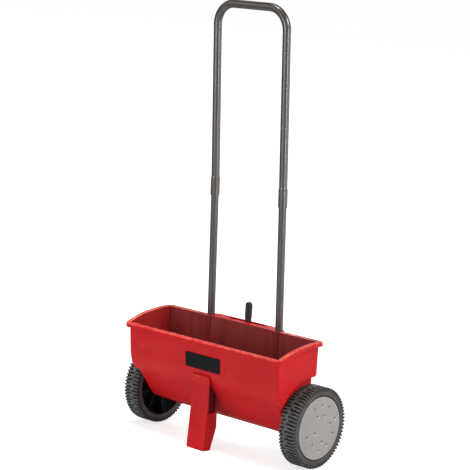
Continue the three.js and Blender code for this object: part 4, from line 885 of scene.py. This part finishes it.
end_tree(bench, tube.outputs[0], UPPER_GREY)
TUBE_TREE = bench


def tube_along(stations, r, wall):
    """A hollow tube through stations of (place, radius)."""
    points = [place for place, _ in stations]
    mesh = bpy.data.meshes.new("path")
    mesh.from_pydata(points, [(i, i + 1) for i in range(len(points) - 1)], [])
    widths = mesh.attributes.new("swell", "FLOAT", "POINT")
    widths.data.foreach_set("value", [width / r for _, width in stations])
    bare = grown(TUBE_TREE, mesh, {"Tube radius": r, "Sides": 48})
    holder = held(bare)
    step = holder.modifiers.new("wall", "SOLIDIFY")
    step.thickness, step.offset, step.use_rim = wall, -1, True
    return result(holder)


UPPER_TUBE_R, TUBE_WALL, BEND_R, HANDLE_TOP_H = 10.2, 1.2, 53.0, 988.0
UPPER_LEAN, BEND_STEPS = math.radians(1.63), 24
# A sleeve's stations: (distance up the lower tube from the joint, radius)
SLEEVE = [(-43, 11.0), (-42.4, 11.3), (-1.2, 11.3), (-0.8, 11.6), (0, 11.6), (0.4, 11.2),
          (4, UPPER_TUBE_R), (8, UPPER_TUBE_R)]


def upper_half(side):
    _, joint, along = tube_line(side)
    up = Vector((0, math.sin(UPPER_LEAN), math.cos(UPPER_LEAN)))
    stations = [(joint + along * far, width) for far, width in SLEEVE]
    rise = (HANDLE_TOP_H - JOINT_H) / up.z - BEND_R
    centre = joint + up * rise - Vector((side * BEND_R, 0, 0))
    for k in range(BEND_STEPS + 1):
        angle = math.radians(90 * k / BEND_STEPS)
        out = Vector((side * math.cos(angle), 0, 0)) + up * math.sin(angle)
        stations.append((centre + out * BEND_R, UPPER_TUBE_R))
    return stations


handle = tube_along(upper_half(-1) + upper_half(1)[::-1], UPPER_TUBE_R, TUBE_WALL)
placed("handle_tube", handle, "spreader", UPPER_GREY, ["upper_handle"], 40)

for word, side in (("left", -1), ("right", 1)):
    base, joint, along = tube_line(side)
    ends = (base - along * (SOCKET_DEPTH - TUBE_FIT), joint - along * 4)
    lower = tube_along([(end, LOWER_TUBE_R) for end in ends], LOWER_TUBE_R, TUBE_WALL)
    placed(f"lower_tube_{word}_dressed", lower, "spreader", LOWER_GREY_SHADED,
           [f"lower_tube_{word}"], 40)

# %% [markdown]
# ## Screws
# Six self-tapping screws hold the foot, the sockets and the joints. They are all the same shape, so
# one is drawn, with its cross recess, and Geometry Nodes put it on every seat and turn it along the
# seat's own direction.

# %% One screw, six seats
def pan_head(length, head_r=4.6, head=2.8, shank_r=2.2):
    dome = arc((head - 4.4, 0), 4.4, 0, 46, 6)[::-1]
    dome = [(x, r) for x, r in dome if r < head_r - 0.3]
    profile = [(-length, 0), (-length + 2.5, shank_r), (0, shank_r), (0, head_r),
               (head * 0.35, head_r), *dome[:-1], (head, 0)]
    screw = turned(profile, 32)
    wings = [block(head - 1.5, head + 1, -a, a, -b, b) for a, b in ((2.5, 0.5), (0.5, 2.5))]
    return cut(screw, joined(*wings))


bench, given = grower("screws_on_seats", {"Screw": "Object"})
shape = bench.add("GeometryNodeObjectInfo", {"Object": given["Screw"]}).outputs["Geometry"]
out = bench.add("GeometryNodeInputNamedAttribute", {"Name": "out"}, data_type="FLOAT_VECTOR")
turn = bench.add("FunctionNodeAlignRotationToVector", {"Vector": out.outputs["Attribute"]},
                 axis="X").outputs[0]
end_tree(bench, set_out(bench, given["Geometry"], shape, turn), ZINC_STEEL)
SCREW_TREE = bench


def screws(seats, length):
    mesh = bpy.data.meshes.new("seats")
    mesh.from_pydata([seat for seat, _ in seats], [], [])
    ways = mesh.attributes.new("out", "FLOAT_VECTOR", "POINT")
    ways.data.foreach_set("vector", [value for _, way in seats for value in way])
    one = held(pan_head(length), "one_screw")
    return grown(SCREW_TREE, mesh, {"Screw": one}, one)


FOOT_SCREW_HALF, FOOT_SCREW_H, FOOT_SCREW_LIFT, JOINT_SCREW_DOWN = 15.0, 54.0, 3.6, 21.5


def tube_seat(side, start, down, surface):
    """A seat on the back of a tube, down from a place on its middle line."""
    along = tube_line(side)[2]
    back = (Vector((0, 1, 0)) - along * along.y).normalized()
    return start - along * down + back * (surface + TUBE_FIT), back


def foot_seat(side):
    start = slope_point(FLARE, FLARE_R)
    out = Vector((0, -math.sin(BELLY_SLOPE), -math.cos(BELLY_SLOPE)))
    y = start[0] + (start[1] - FOOT_SCREW_H) / math.tan(BELLY_SLOPE)
    return Vector((side * FOOT_SCREW_HALF, y, FOOT_SCREW_H)) + out * FOOT_SCREW_LIFT, out


long_seats = [tube_seat(side, tube_line(side)[0], SOCKET_DEPTH / 2, SOCKET_R)
              for side in (-1, 1)]
long_seats += [foot_seat(side) for side in (-1, 1)]
placed("long_screws", screws(long_seats, 12), "spreader", ZINC_STEEL,
       ["socket_screw_left", "socket_screw_right", "foot_screw_left", "foot_screw_right"])
joint_seats = [tube_seat(side, tube_line(side)[1], JOINT_SCREW_DOWN, SLEEVE[1][1])
               for side in (-1, 1)]
placed("joint_screws", screws(joint_seats, 9), "spreader", ZINC_STEEL,
       ["joint_screw_left", "joint_screw_right"])

# %% [markdown]
# ## The dosing lever
# A flat bar that swings across its slot. Its fork straddles a stud on the slide, so that a push to
# the side opens or shuts the outlets. It is a flat outline with a round top, given its thickness
# and soft edges, and it turns on a shoulder screw with a friction washer under the head.

# %% Lever and pivot
FORK_LOW, FORK_TOP, FORK_HALF, FORK_GAP_HALF = -24.0, -12.7, 9.0, 3.3
EYE_R, PIVOT_HOLE_R, BAR_HALF, BAR_TIP_H, BAR_TIP_R = 11.0, 4.3, 3.0, 242.6, 8.4
NECK_HALF, NECK_H, GRIP_HALF, GRIP_LOW_H, GRIP_TIP_H = 8.2, 196.0, 9.0, 212.0, 242.0
GRIP_LAYERS = [(-4.5, 0.86), (-3.4, 1), (3.4, 1), (4.5, 0.86)]  # (y, share of the full outline)


def dosing_lever():
    outline = [(-FORK_HALF, FORK_LOW), (-FORK_GAP_HALF, FORK_LOW), (-FORK_GAP_HALF, FORK_TOP),
               (FORK_GAP_HALF, FORK_TOP), (FORK_GAP_HALF, FORK_LOW), (FORK_HALF, FORK_LOW)]
    outline += arc((0, 0), EYE_R, -45, 45, 10) + [(NECK_HALF, NECK_H)]
    outline += arc((0, BAR_TIP_H), BAR_TIP_R, 0, 180, 20) + [(-NECK_HALF, NECK_H)]
    outline += arc((0, 0), EYE_R, 135, 225, 10)
    bar = loft([[(x, y, h) for x, h in outline] for y in (-BAR_HALF, BAR_HALF)])
    around_grip = [(GRIP_HALF, GRIP_LOW_H), *arc((0, GRIP_TIP_H), GRIP_HALF, 0, 180, 20),
                   (-GRIP_HALF, GRIP_LOW_H)]
    grip = loft([[(x * share, y, GRIP_TIP_H + (h - GRIP_TIP_H) * share) for x, h in around_grip]
                 for y, share in GRIP_LAYERS])
    eye = aimed(rod(PIVOT_HOLE_R, -10, 10), Vector(), Vector((0, 1, 0)))
    return cut(joined(bar, grip), eye)


PIVOT = PIVOT_ON_WALL + WALL_OUT * LEVER_OFFSET
lever_mesh = softened(dosing_lever(), 1.2, 4, 25)
lever_mesh.transform(Matrix.Translation(PIVOT) @ Matrix.Rotation(-REAR_RAKE, 4, "X"))
placed("swing_lever", lever_mesh, "lever", LEVER_BLACK, ["dosing_lever"])

shoulder = [(4.6, 0), (4.6, 2.2), (16.6, 2.2), (16.6, 4), (24.5, 4), (24.5, 8), (26, 8),
            (27, 7), (27.5, 5.4), (27.5, 0)]
pivot_screw = cut(turned(shoulder, 48), joined(block(25.8, 29, -4, 4, -0.7, 0.7),
                                               block(25.8, 29, -0.7, 0.7, -4, 4)))
placed("pivot_screw", aimed(pivot_screw, PIVOT_ON_WALL, WALL_OUT), "spreader", ZINC_STEEL,
       ["lever_pivot_screw"])

# %% [markdown]
# ## Axle and agitator
# The right wheel turns the axle, and the axle turns the agitator: a sleeve with a paddle over each
# outlet, each a quarter turn on from the one before, so that the load on the wheels stays even.
# A row with a turning step is a rule, so Geometry Nodes set the paddles out.

# %% Axle and paddles
AXLE_R, AXLE_HALF, AXLE_CHAMFER, BORE_R = 5.0, 278.7, 0.8, 5.3
bench, given = grower("paddle_row", {"Paddles": "Int", "Pitch": "Float", "Turn": "Float"})
number = bench.add("GeometryNodeInputIndex").outputs[0]
angles = bench.axes(X=bench.sum("MULTIPLY", number, given["Turn"]))
line = row_points(bench, given["Paddles"], given["Pitch"])
end_tree(bench, set_out(bench, line, given["Geometry"], angles), WHEEL_BLACK)

blade_side = [(-1.3, 5), (-1.3, 14.4)] + arc((0, 14.2), 1.3, 180, 0, 6) + [(1.3, 5)]
blade = pulled(blade_side, -6, 6)
paddles = grown(bench, blade, {"Paddles": OUTLETS, "Pitch": OUTLET_PITCH, "Turn": math.pi / 2})
sleeve = rod(8, -216, 216, 40, BORE_R)
agitator = softened(cut(joined(sleeve, paddles), rod(BORE_R, -220, 220)), 0.3, 1)
placed("agitator_paddles", agitator, "axle_set", WHEEL_BLACK, ["agitator"])

right_end = [(AXLE_HALF - AXLE_CHAMFER, AXLE_R), (AXLE_HALF, AXLE_R - AXLE_CHAMFER),
             (AXLE_HALF, 0)]
axle = turned([(-x, r) for x, r in right_end[::-1]] + right_end, 48)
placed("axle_rod", axle, "axle_set", ZINC_STEEL, ["axle"])

bush = turned([(222, BORE_R), (222, 8.3), (232.3, 8.3), (232.3, 13), (234.3, 13),
               (234.3, BORE_R)], 64)
washer = rod(11, 234.6, 236.1, 64, BORE_R)
SIDES = (("left", MIRROR), ("right", Matrix.Identity(4)))
for word, matrix in SIDES:
    placed(f"bush_{word}", softened(copied(bush, matrix), 0.3, 2), "spreader", NATURAL_PLASTIC,
           [f"axle_bush_{word}"])
    placed(f"washer_{word}", softened(copied(washer, matrix), 0.2, 2), "axle_set", ZINC_STEEL,
           [f"hub_washer_{word}"])

# %% [markdown]
# ## The tyre's tread
# Each tyre has two rows of slanted slots, long and short in turn, and a long one in one row faces
# a short one in the other. One period of that pattern is drawn as a small patch: a grid of cells,
# some of them on the tread's top and some on the slot floors, with walls between. Geometry Nodes
# turn that patch round the axle thirty-five times and weld it into one ring.

# %% One period of the tread
PERIODS, SLOT_SHARE, SLANT = 35, 0.52, math.tan(math.radians(6))
TYRE_IN, TYRE_OUT, TYRE_R, SLOT_FLOOR_R = 236.0, 281.0, 100.0, 96.0
TYRE_MIDDLE, TYRE_HALF = (TYRE_IN + TYRE_OUT) / 2, (TYRE_OUT - TYRE_IN) / 2
# Stations across the tyre: (x, radius) on the top, then on a slot's floor
SHOULDER = [((0.0, 90.6), (0.0, 90.6)), ((0.0, 94.6), (1.1, 92.6)), ((0.2, 98.8), (1.6, 94.8)),
            ((1.2, TYRE_R), (2.4, SLOT_FLOOR_R)), ((4.6, TYRE_R), (4.6, SLOT_FLOOR_R))]
ENDS = [247.5, 252.0, 256.0, 262.5]
BEAD = [(0.0, 85.2), (-0.5, 84.6), (-0.6, 81.4), (0.0, 80.2), (3.0, 80.0)]


def tyre_stations():
    inner = [((TYRE_IN + a[0], a[1]), (TYRE_IN + b[0], b[1])) for a, b in SHOULDER]
    outer = [((TYRE_OUT - a[0], a[1]), (TYRE_OUT - b[0], b[1])) for a, b in SHOULDER[::-1]]
    tops = [((x, TYRE_R), (x, SLOT_FLOOR_R)) for x in ENDS]
    ring = inner + tops + outer
    side = [(TYRE_OUT - a, r) for a, r in BEAD]
    back = [(TYRE_OUT - 3.0, 91.5), (TYRE_IN + 3.0, 91.5)]
    rest = side + back + [(TYRE_IN + a, r) for a, r in BEAD[::-1]]
    return ring + [(point, point) for point in rest], len(ring)


def tread_patch():
    stations, tread_count = tyre_stations()
    pitch = math.pi / PERIODS
    half = pitch * SLOT_SHARE / 2
    columns = [0, pitch / 2 - half, pitch / 2 + half, 1.5 * pitch - half, 1.5 * pitch + half,
               2 * pitch]

    def is_slot(i, j):
        if i not in (1, 3) or not 0 <= j < tread_count - 1:
            return False
        long_inside = i == 1
        low, high = stations[j][0][0], stations[j + 1][0][0]
        inner_end = ENDS[1] if long_inside else ENDS[0]
        outer_start = ENDS[3] if long_inside else ENDS[2]
        return high <= inner_end + 0.01 or low >= outer_start - 0.01

    def corner(i, j, deep):
        x, r = stations[j % len(stations)][1 if deep else 0]
        away = min(abs(x - TYRE_MIDDLE), TYRE_HALF)
        angle = columns[i] + away * SLANT / TYRE_R
        return x, r * math.cos(angle), r * math.sin(angle)

    points, faces, slot_shades = [], [], []

    def face(slot_shade, *corners):
        faces.append(tuple(range(len(points), len(points) + len(corners))))
        points.extend(corners)
        slot_shades.append(slot_shade)

    for i in range(5):
        for j in range(len(stations)):
            deep = is_slot(i, j)
            face(float(deep), *(corner(a, b, deep) for a, b in
                                ((i, j), (i + 1, j), (i + 1, j + 1), (i, j + 1))))
            if i < 4 and is_slot(i + 1, j) != deep:
                face(0.7, corner(i + 1, j, False), corner(i + 1, j + 1, False),
                     corner(i + 1, j + 1, True), corner(i + 1, j, True))
            if j + 1 < len(stations) and is_slot(i, j + 1) != deep:
                face(0.7, corner(i, j + 1, False), corner(i + 1, j + 1, False),
                     corner(i + 1, j + 1, True), corner(i, j + 1, True))
    return points, faces, slot_shades


patch_points, patch_faces, patch_slot_shades = tread_patch()
tread_mesh = bpy.data.meshes.new("tread_patch")
tread_mesh.from_pydata(patch_points, [], patch_faces)
# The slot floors and walls are marked for the painted shade that the rubber gives them.
mark_faces(tread_mesh, "slot_shade", patch_slot_shades)
print("one period has", len(tread_mesh.polygons), "faces")

# %% The ring of periods
bench, given = grower("ring_of_periods", {"Periods": "Int", "Weld": "Float"})
spots = row_points(bench, given["Periods"], 0.0)
step = bench.sum("DIVIDE", 2 * math.pi, given["Periods"])
number = bench.add("GeometryNodeInputIndex").outputs[0]
angles = bench.axes(X=bench.sum("MULTIPLY", number, step))
ring = set_out(bench, spots, given["Geometry"], angles)
whole = bench.add("GeometryNodeRealizeInstances", {"Geometry": ring}).outputs[0]
welded = bench.add("GeometryNodeMergeByDistance", {"Geometry": whole, "Distance": given["Weld"]})
end_tree(bench, welded.outputs[0], TYRE_RUBBER)
RING_TREE = bench


def tidy(mesh):
    """Merges doubles, drops collapsed faces and turns every face outwards."""
    shape = bmesh.new()
    shape.from_mesh(mesh)
    bmesh.ops.remove_doubles(shape, verts=shape.verts, dist=0.01)
    bmesh.ops.dissolve_degenerate(shape, edges=shape.edges, dist=0.001)
    bmesh.ops.recalc_face_normals(shape, faces=shape.faces)
    open_edges = sum(1 for edge in shape.edges if not edge.is_manifold)
    print("tidied,", open_edges, "edges are not closed")
    return mesh_of(shape)


tyre = tidy(grown(RING_TREE, tread_mesh, {"Periods": PERIODS, "Weld": 0.01}))
tyre = softened(tyre, 0.3, 1, 32)

# %% [markdown]
# ## Wheel rims and hub caps
# Behind the tyre sits a black wheel: a barrel, a dished web and ribs that run out from the hub. The
# ribs are one rib on a ring, by the same tree as the tread. Outside, a pale domed cap hides the
# hub. It has fourteen shallow round dimples in a loose scatter, cut by balls set on its face.

# %% Wheel rim
rim_profile = [(239.3, 88.2), (239.3, 91.2), (277.7, 91.2), (277.7, 71.5), (267, 12.3), (273, 12.3),
               (273, 5.3), (236.4, 5.3), (236.4, 12.3), (264, 12.3), (274.7, 71.5), (274.7, 88.2)]
rib_side = [(249, 8.8), (249, 89.7), (276.2, 89.7), (276.2, 71.5), (265.5, 8.8)]
rib = loft([[(x, r, h) for x, r in rib_side] for h in (-1.5, 1.5)])
rib.transform(Matrix.Rotation(math.radians(7.5), 4, "X"))
ribs = grown(RING_TREE, rib, {"Periods": 8, "Weld": 0.001})
wheel = softened(joined(turned(rim_profile, 96), ribs), 0.5, 2)

# %% Hub cap
CAP_R, CAP_FACE, CAP_DOME, CAP_EDGE_R = 77.5, 282.2, 2.6, 1.6
# Each dimple's middle: (share of the cap's radius, degrees round from the rear)
DIMPLES = [(0.73, 77), (0.75, 51), (0.72, 109), (0.78, 11), (0.71, -26), (0.7, -61), (0.71, -96),
           (0.58, -128), (0.64, -167), (0.42, 103), (0.43, 58), (0.5, 6), (0.46, -79), (0.26, -157)]


def dome_x(r):
    return CAP_FACE + CAP_DOME * (1 - (r / (CAP_R - CAP_EDGE_R)) ** 2)


def cap_body():
    flat = CAP_R - CAP_EDGE_R
    face = [(dome_x(flat * k / 20), flat * k / 20) for k in range(21)]
    edge = [(x, r) for r, x in arc((flat, CAP_FACE - CAP_EDGE_R), CAP_EDGE_R, 78, 0, 4)]
    back = [(278, CAP_R), (278, 75.3), (279.3, 75.3), (281.4, 14.6), (268, 14.6), (268, 12.6),
            (281.4, 12.6), (281.4, 0)]
    return turned(face + edge + back, 120)


bench, given = grower("dimple_balls", {"Ball radius": "Float", "Lift": "Float"})
ball = bench.add("GeometryNodeMeshUVSphere", {"Segments": 40, "Rings": 32,
                                              "Radius": given["Ball radius"]}).outputs[0]
raised = bench.add("GeometryNodeSetPosition", {"Geometry": given["Geometry"],
                                               "Offset": bench.axes(X=given["Lift"])}).outputs[0]
end_tree(bench, set_out(bench, raised, ball, (0, math.pi / 2, 0)), CAP_GREY)

spots = bpy.data.meshes.new("dimple_spots")
places = []
for share, degrees in DIMPLES:
    r, angle = share * CAP_R, math.radians(degrees)
    places.append((dome_x(r), r * math.cos(angle), r * math.sin(angle)))
spots.from_pydata(places, [], [])
dents = grown(bench, spots, {"Ball radius": 6.6, "Lift": 3.7})
cap = softened(cut(cap_body(), dents), 0.3, 2, 14)


def mark_hollows(mesh):
    """Marks the dimples: painted shade in the middle, and a painted highlight on the slope round
    it.
    """
    marks, pale_wear_and_highlight = [], [item.value for item in mesh.attributes["wear_and_painted_highlight"].data]
    for face in mesh.polygons:
        x, y, h = face.center
        away = min(math.hypot(y - b, h - c) for _, b, c in places)
        inside = x > CAP_FACE - 3.5 and dome_x(math.hypot(y, h)) - x > 0.05
        marks.append(float(inside and away < 3.0))
        if inside and 3.0 <= away < 5.6:
            pale_wear_and_highlight[face.index] = 1.6
    mark_faces(mesh, "hollow", marks)
    mark_faces(mesh, "wear_and_painted_highlight", pale_wear_and_highlight)
    print("faces inside dimples", int(sum(marks)))


mark_hollows(cap)

# %% Wheels in place
for word, matrix in SIDES:
    body = "left_wheel" if word == "left" else "axle_set"
    placed(f"tread_ring_{word}", copied(tyre, matrix), body, TYRE_RUBBER,
           [f"tyre_{word}"], 30)
    placed(f"wheel_disc_{word}", copied(wheel, matrix), body, WHEEL_BLACK,
           [f"wheel_rim_{word}"], 30)
    placed(f"dimpled_cap_{word}", copied(cap, matrix), body, CAP_GREY,
           [f"hub_cap_{word}"], 25)

# %% [markdown]
# ## Pieces kept from the CAD model
# The slide, the pins, the thin washers and the axle retainers are already the right shape and are
# nearly all hidden. They keep their CAD meshes and get the same finishes as their neighbours.

# %% Better materials on the kept nodes
KEPT = {"dosing_slide": NATURAL_PLASTIC, "lever_washer": ZINC_STEEL, "agitator_pin": ZINC_STEEL,
        "drive_pin": ZINC_STEEL, "axle_retainer_left": ZINC_STEEL,
        "axle_retainer_right": ZINC_STEEL}
for name, finish in KEPT.items():
    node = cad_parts[name]
    for material_slot in node.material_slots:
        material_slot.material = finish
print("kept", sorted(KEPT))

# %% [markdown]
# ## Floor, light and camera
# A pale floor fades to white away from the spreader, so only the soft shadow near it shows. Seven
# soft lamps and a dim white world light it as a studio would, at a level where a colour looks as it
# was written. The tubes mirror their surroundings, so a narrow lamp at the right draws the bright
# line down each of them. The camera stands to the front and right, a little above.

# %% Floor and world
def seen(bench):
    """One for the camera's own rays, otherwise zero."""
    rays = bench.add("ShaderNodeLightPath").outputs
    return bench.sum("MAXIMUM", rays["Is Camera Ray"], rays["Is Transmission Ray"])


def pale_floor():
    material = bpy.data.materials.new("pale_floor")
    material.use_nodes = True
    bench = Bench(material.node_tree)
    material.node_tree.nodes.remove(material.node_tree.nodes["Principled BSDF"])
    place = bench.add("ShaderNodeTexCoord").outputs["Object"]
    away = bench.vector_sum("LENGTH", place)["Value"]
    glow = bench.sum("MULTIPLY", ranged(bench, away, 0.7, 1.1, 0.5, 1.4), seen(bench))
    matt = bench.add("ShaderNodeBsdfDiffuse", {"Color": (0.65, 0.65, 0.65, 1)}).outputs[0]
    light = bench.add("ShaderNodeEmission", {"Strength": glow}).outputs[0]
    both = bench.add("ShaderNodeAddShader", {0: matt, 1: light}).outputs[0]
    bench.tree.links.new(both, material.node_tree.nodes["Material Output"].inputs["Surface"])
    return material


FLOOR_HALF = 40
floor_mesh = bpy.data.meshes.new("floor")
floor_mesh.from_pydata([(x * FLOOR_HALF, y * FLOOR_HALF, 0) for x, y in
                        ((-1, -1), (1, -1), (1, 1), (-1, 1))], [], [(0, 1, 2, 3)])
floor_mesh.materials.append(pale_floor())
floor = held(floor_mesh, "floor")

world = bpy.data.worlds.new("studio")
bpy.context.scene.world = world
world.use_nodes = True
bench = Bench(world.node_tree)
DIM = 0.24  # the world's light on the spreader, where 1 is the white behind it
strength = bench.sum("ADD", bench.sum("MULTIPLY", seen(bench), 1 - DIM), DIM)
bench.tree.links.new(strength, world.node_tree.nodes["Background"].inputs["Strength"])
world.node_tree.nodes["Background"].inputs["Color"].default_value = (1, 1, 1, 1)
bpy.context.scene.view_settings.view_transform = "Standard"


# %% Lamps
WARM, WHITE = (1.0, 0.965, 0.92), (1, 1, 1)
# (name, power in watts, width, height, place, what it points at, spread in degrees, colour)
LAMPS = [
    ("key", 47, 1.0, 1.0, (2.6, 0.4, 2.6), (0, 0, 0.35), 180, WARM),
    ("strip", 22, 0.6, 1.3, (3.2, -0.3, 0.6), (0, 0, 0.6), 180, WHITE),
    ("side", 12, 2.0, 1.4, (1.7, 1.9, 0.7), (0, 0, 0.6), 180, WARM),
    ("fill", 30, 2.4, 1.5, (-0.3, -3.45, 0.75), (0, 0, 0.6), 180, WHITE),
    ("crown", 8, 2.0, 1.4, (-1.9, -2.0, 1.9), (0, 0, 0.6), 180, WHITE),
    ("top", 3.6, 0.5, 0.5, (-0.15, -0.5, 2.6), (-0.15, -0.5, 0), 40, WHITE),
    ("back", 12, 1.6, 1.6, (-1.2, 2.6, 1.6), (0, 0, 0.35), 180, WHITE),
]
for name, power, width, height, place, target, spread, colour in LAMPS:
    light = bpy.data.lights.new(name, "AREA")
    light.color, light.energy, light.spread = colour, power, math.radians(spread)
    light.shape, light.size, light.size_y = "RECTANGLE", width, height
    bulb = held(light, name)
    facing = (Vector(place) - Vector(target)).to_track_quat("Z", "Y").to_matrix().to_4x4()
    bulb.matrix_world = Matrix.Translation(place) @ facing
print("lamps", [lamp[0] for lamp in LAMPS])

# %% Camera
IMAGE, SENSOR = 470, 36
AZIMUTH, RISE, ROLL = (math.radians(a) for a in (40.67745616, 7.63567502, 5.03677118))
FAR, FOCAL = 4.493078681, 1809.08508556  # metres, pixels
CENTRE = (236.3226967, 235.01496018)  # where the lens points, in pixels
AIM = Vector((-0.034382788, AXLE_MIDDLE.y, 0.521674568))

back = Vector((math.sin(AZIMUTH) * math.cos(RISE), -math.cos(AZIMUTH) * math.cos(RISE),
               math.sin(RISE)))
level = Vector((math.cos(AZIMUTH), math.sin(AZIMUTH), 0))
above = back.cross(level)
right = level * math.cos(ROLL) + above * math.sin(ROLL)
up = above * math.cos(ROLL) - level * math.sin(ROLL)

lens = bpy.data.cameras.new("camera")
lens.sensor_width = SENSOR
lens.lens = FOCAL * SENSOR / IMAGE
lens.shift_x = (IMAGE / 2 - CENTRE[0]) / IMAGE
lens.shift_y = (CENTRE[1] - IMAGE / 2) / IMAGE
camera = held(lens, "camera")
turned_camera = Matrix((right, up, back)).transposed().to_4x4()
camera.matrix_world = Matrix.Translation(AIM + back * FAR) @ turned_camera
bpy.context.scene.camera = camera
print("camera at", tuple(round(v, 3) for v in camera.matrix_world.translation))
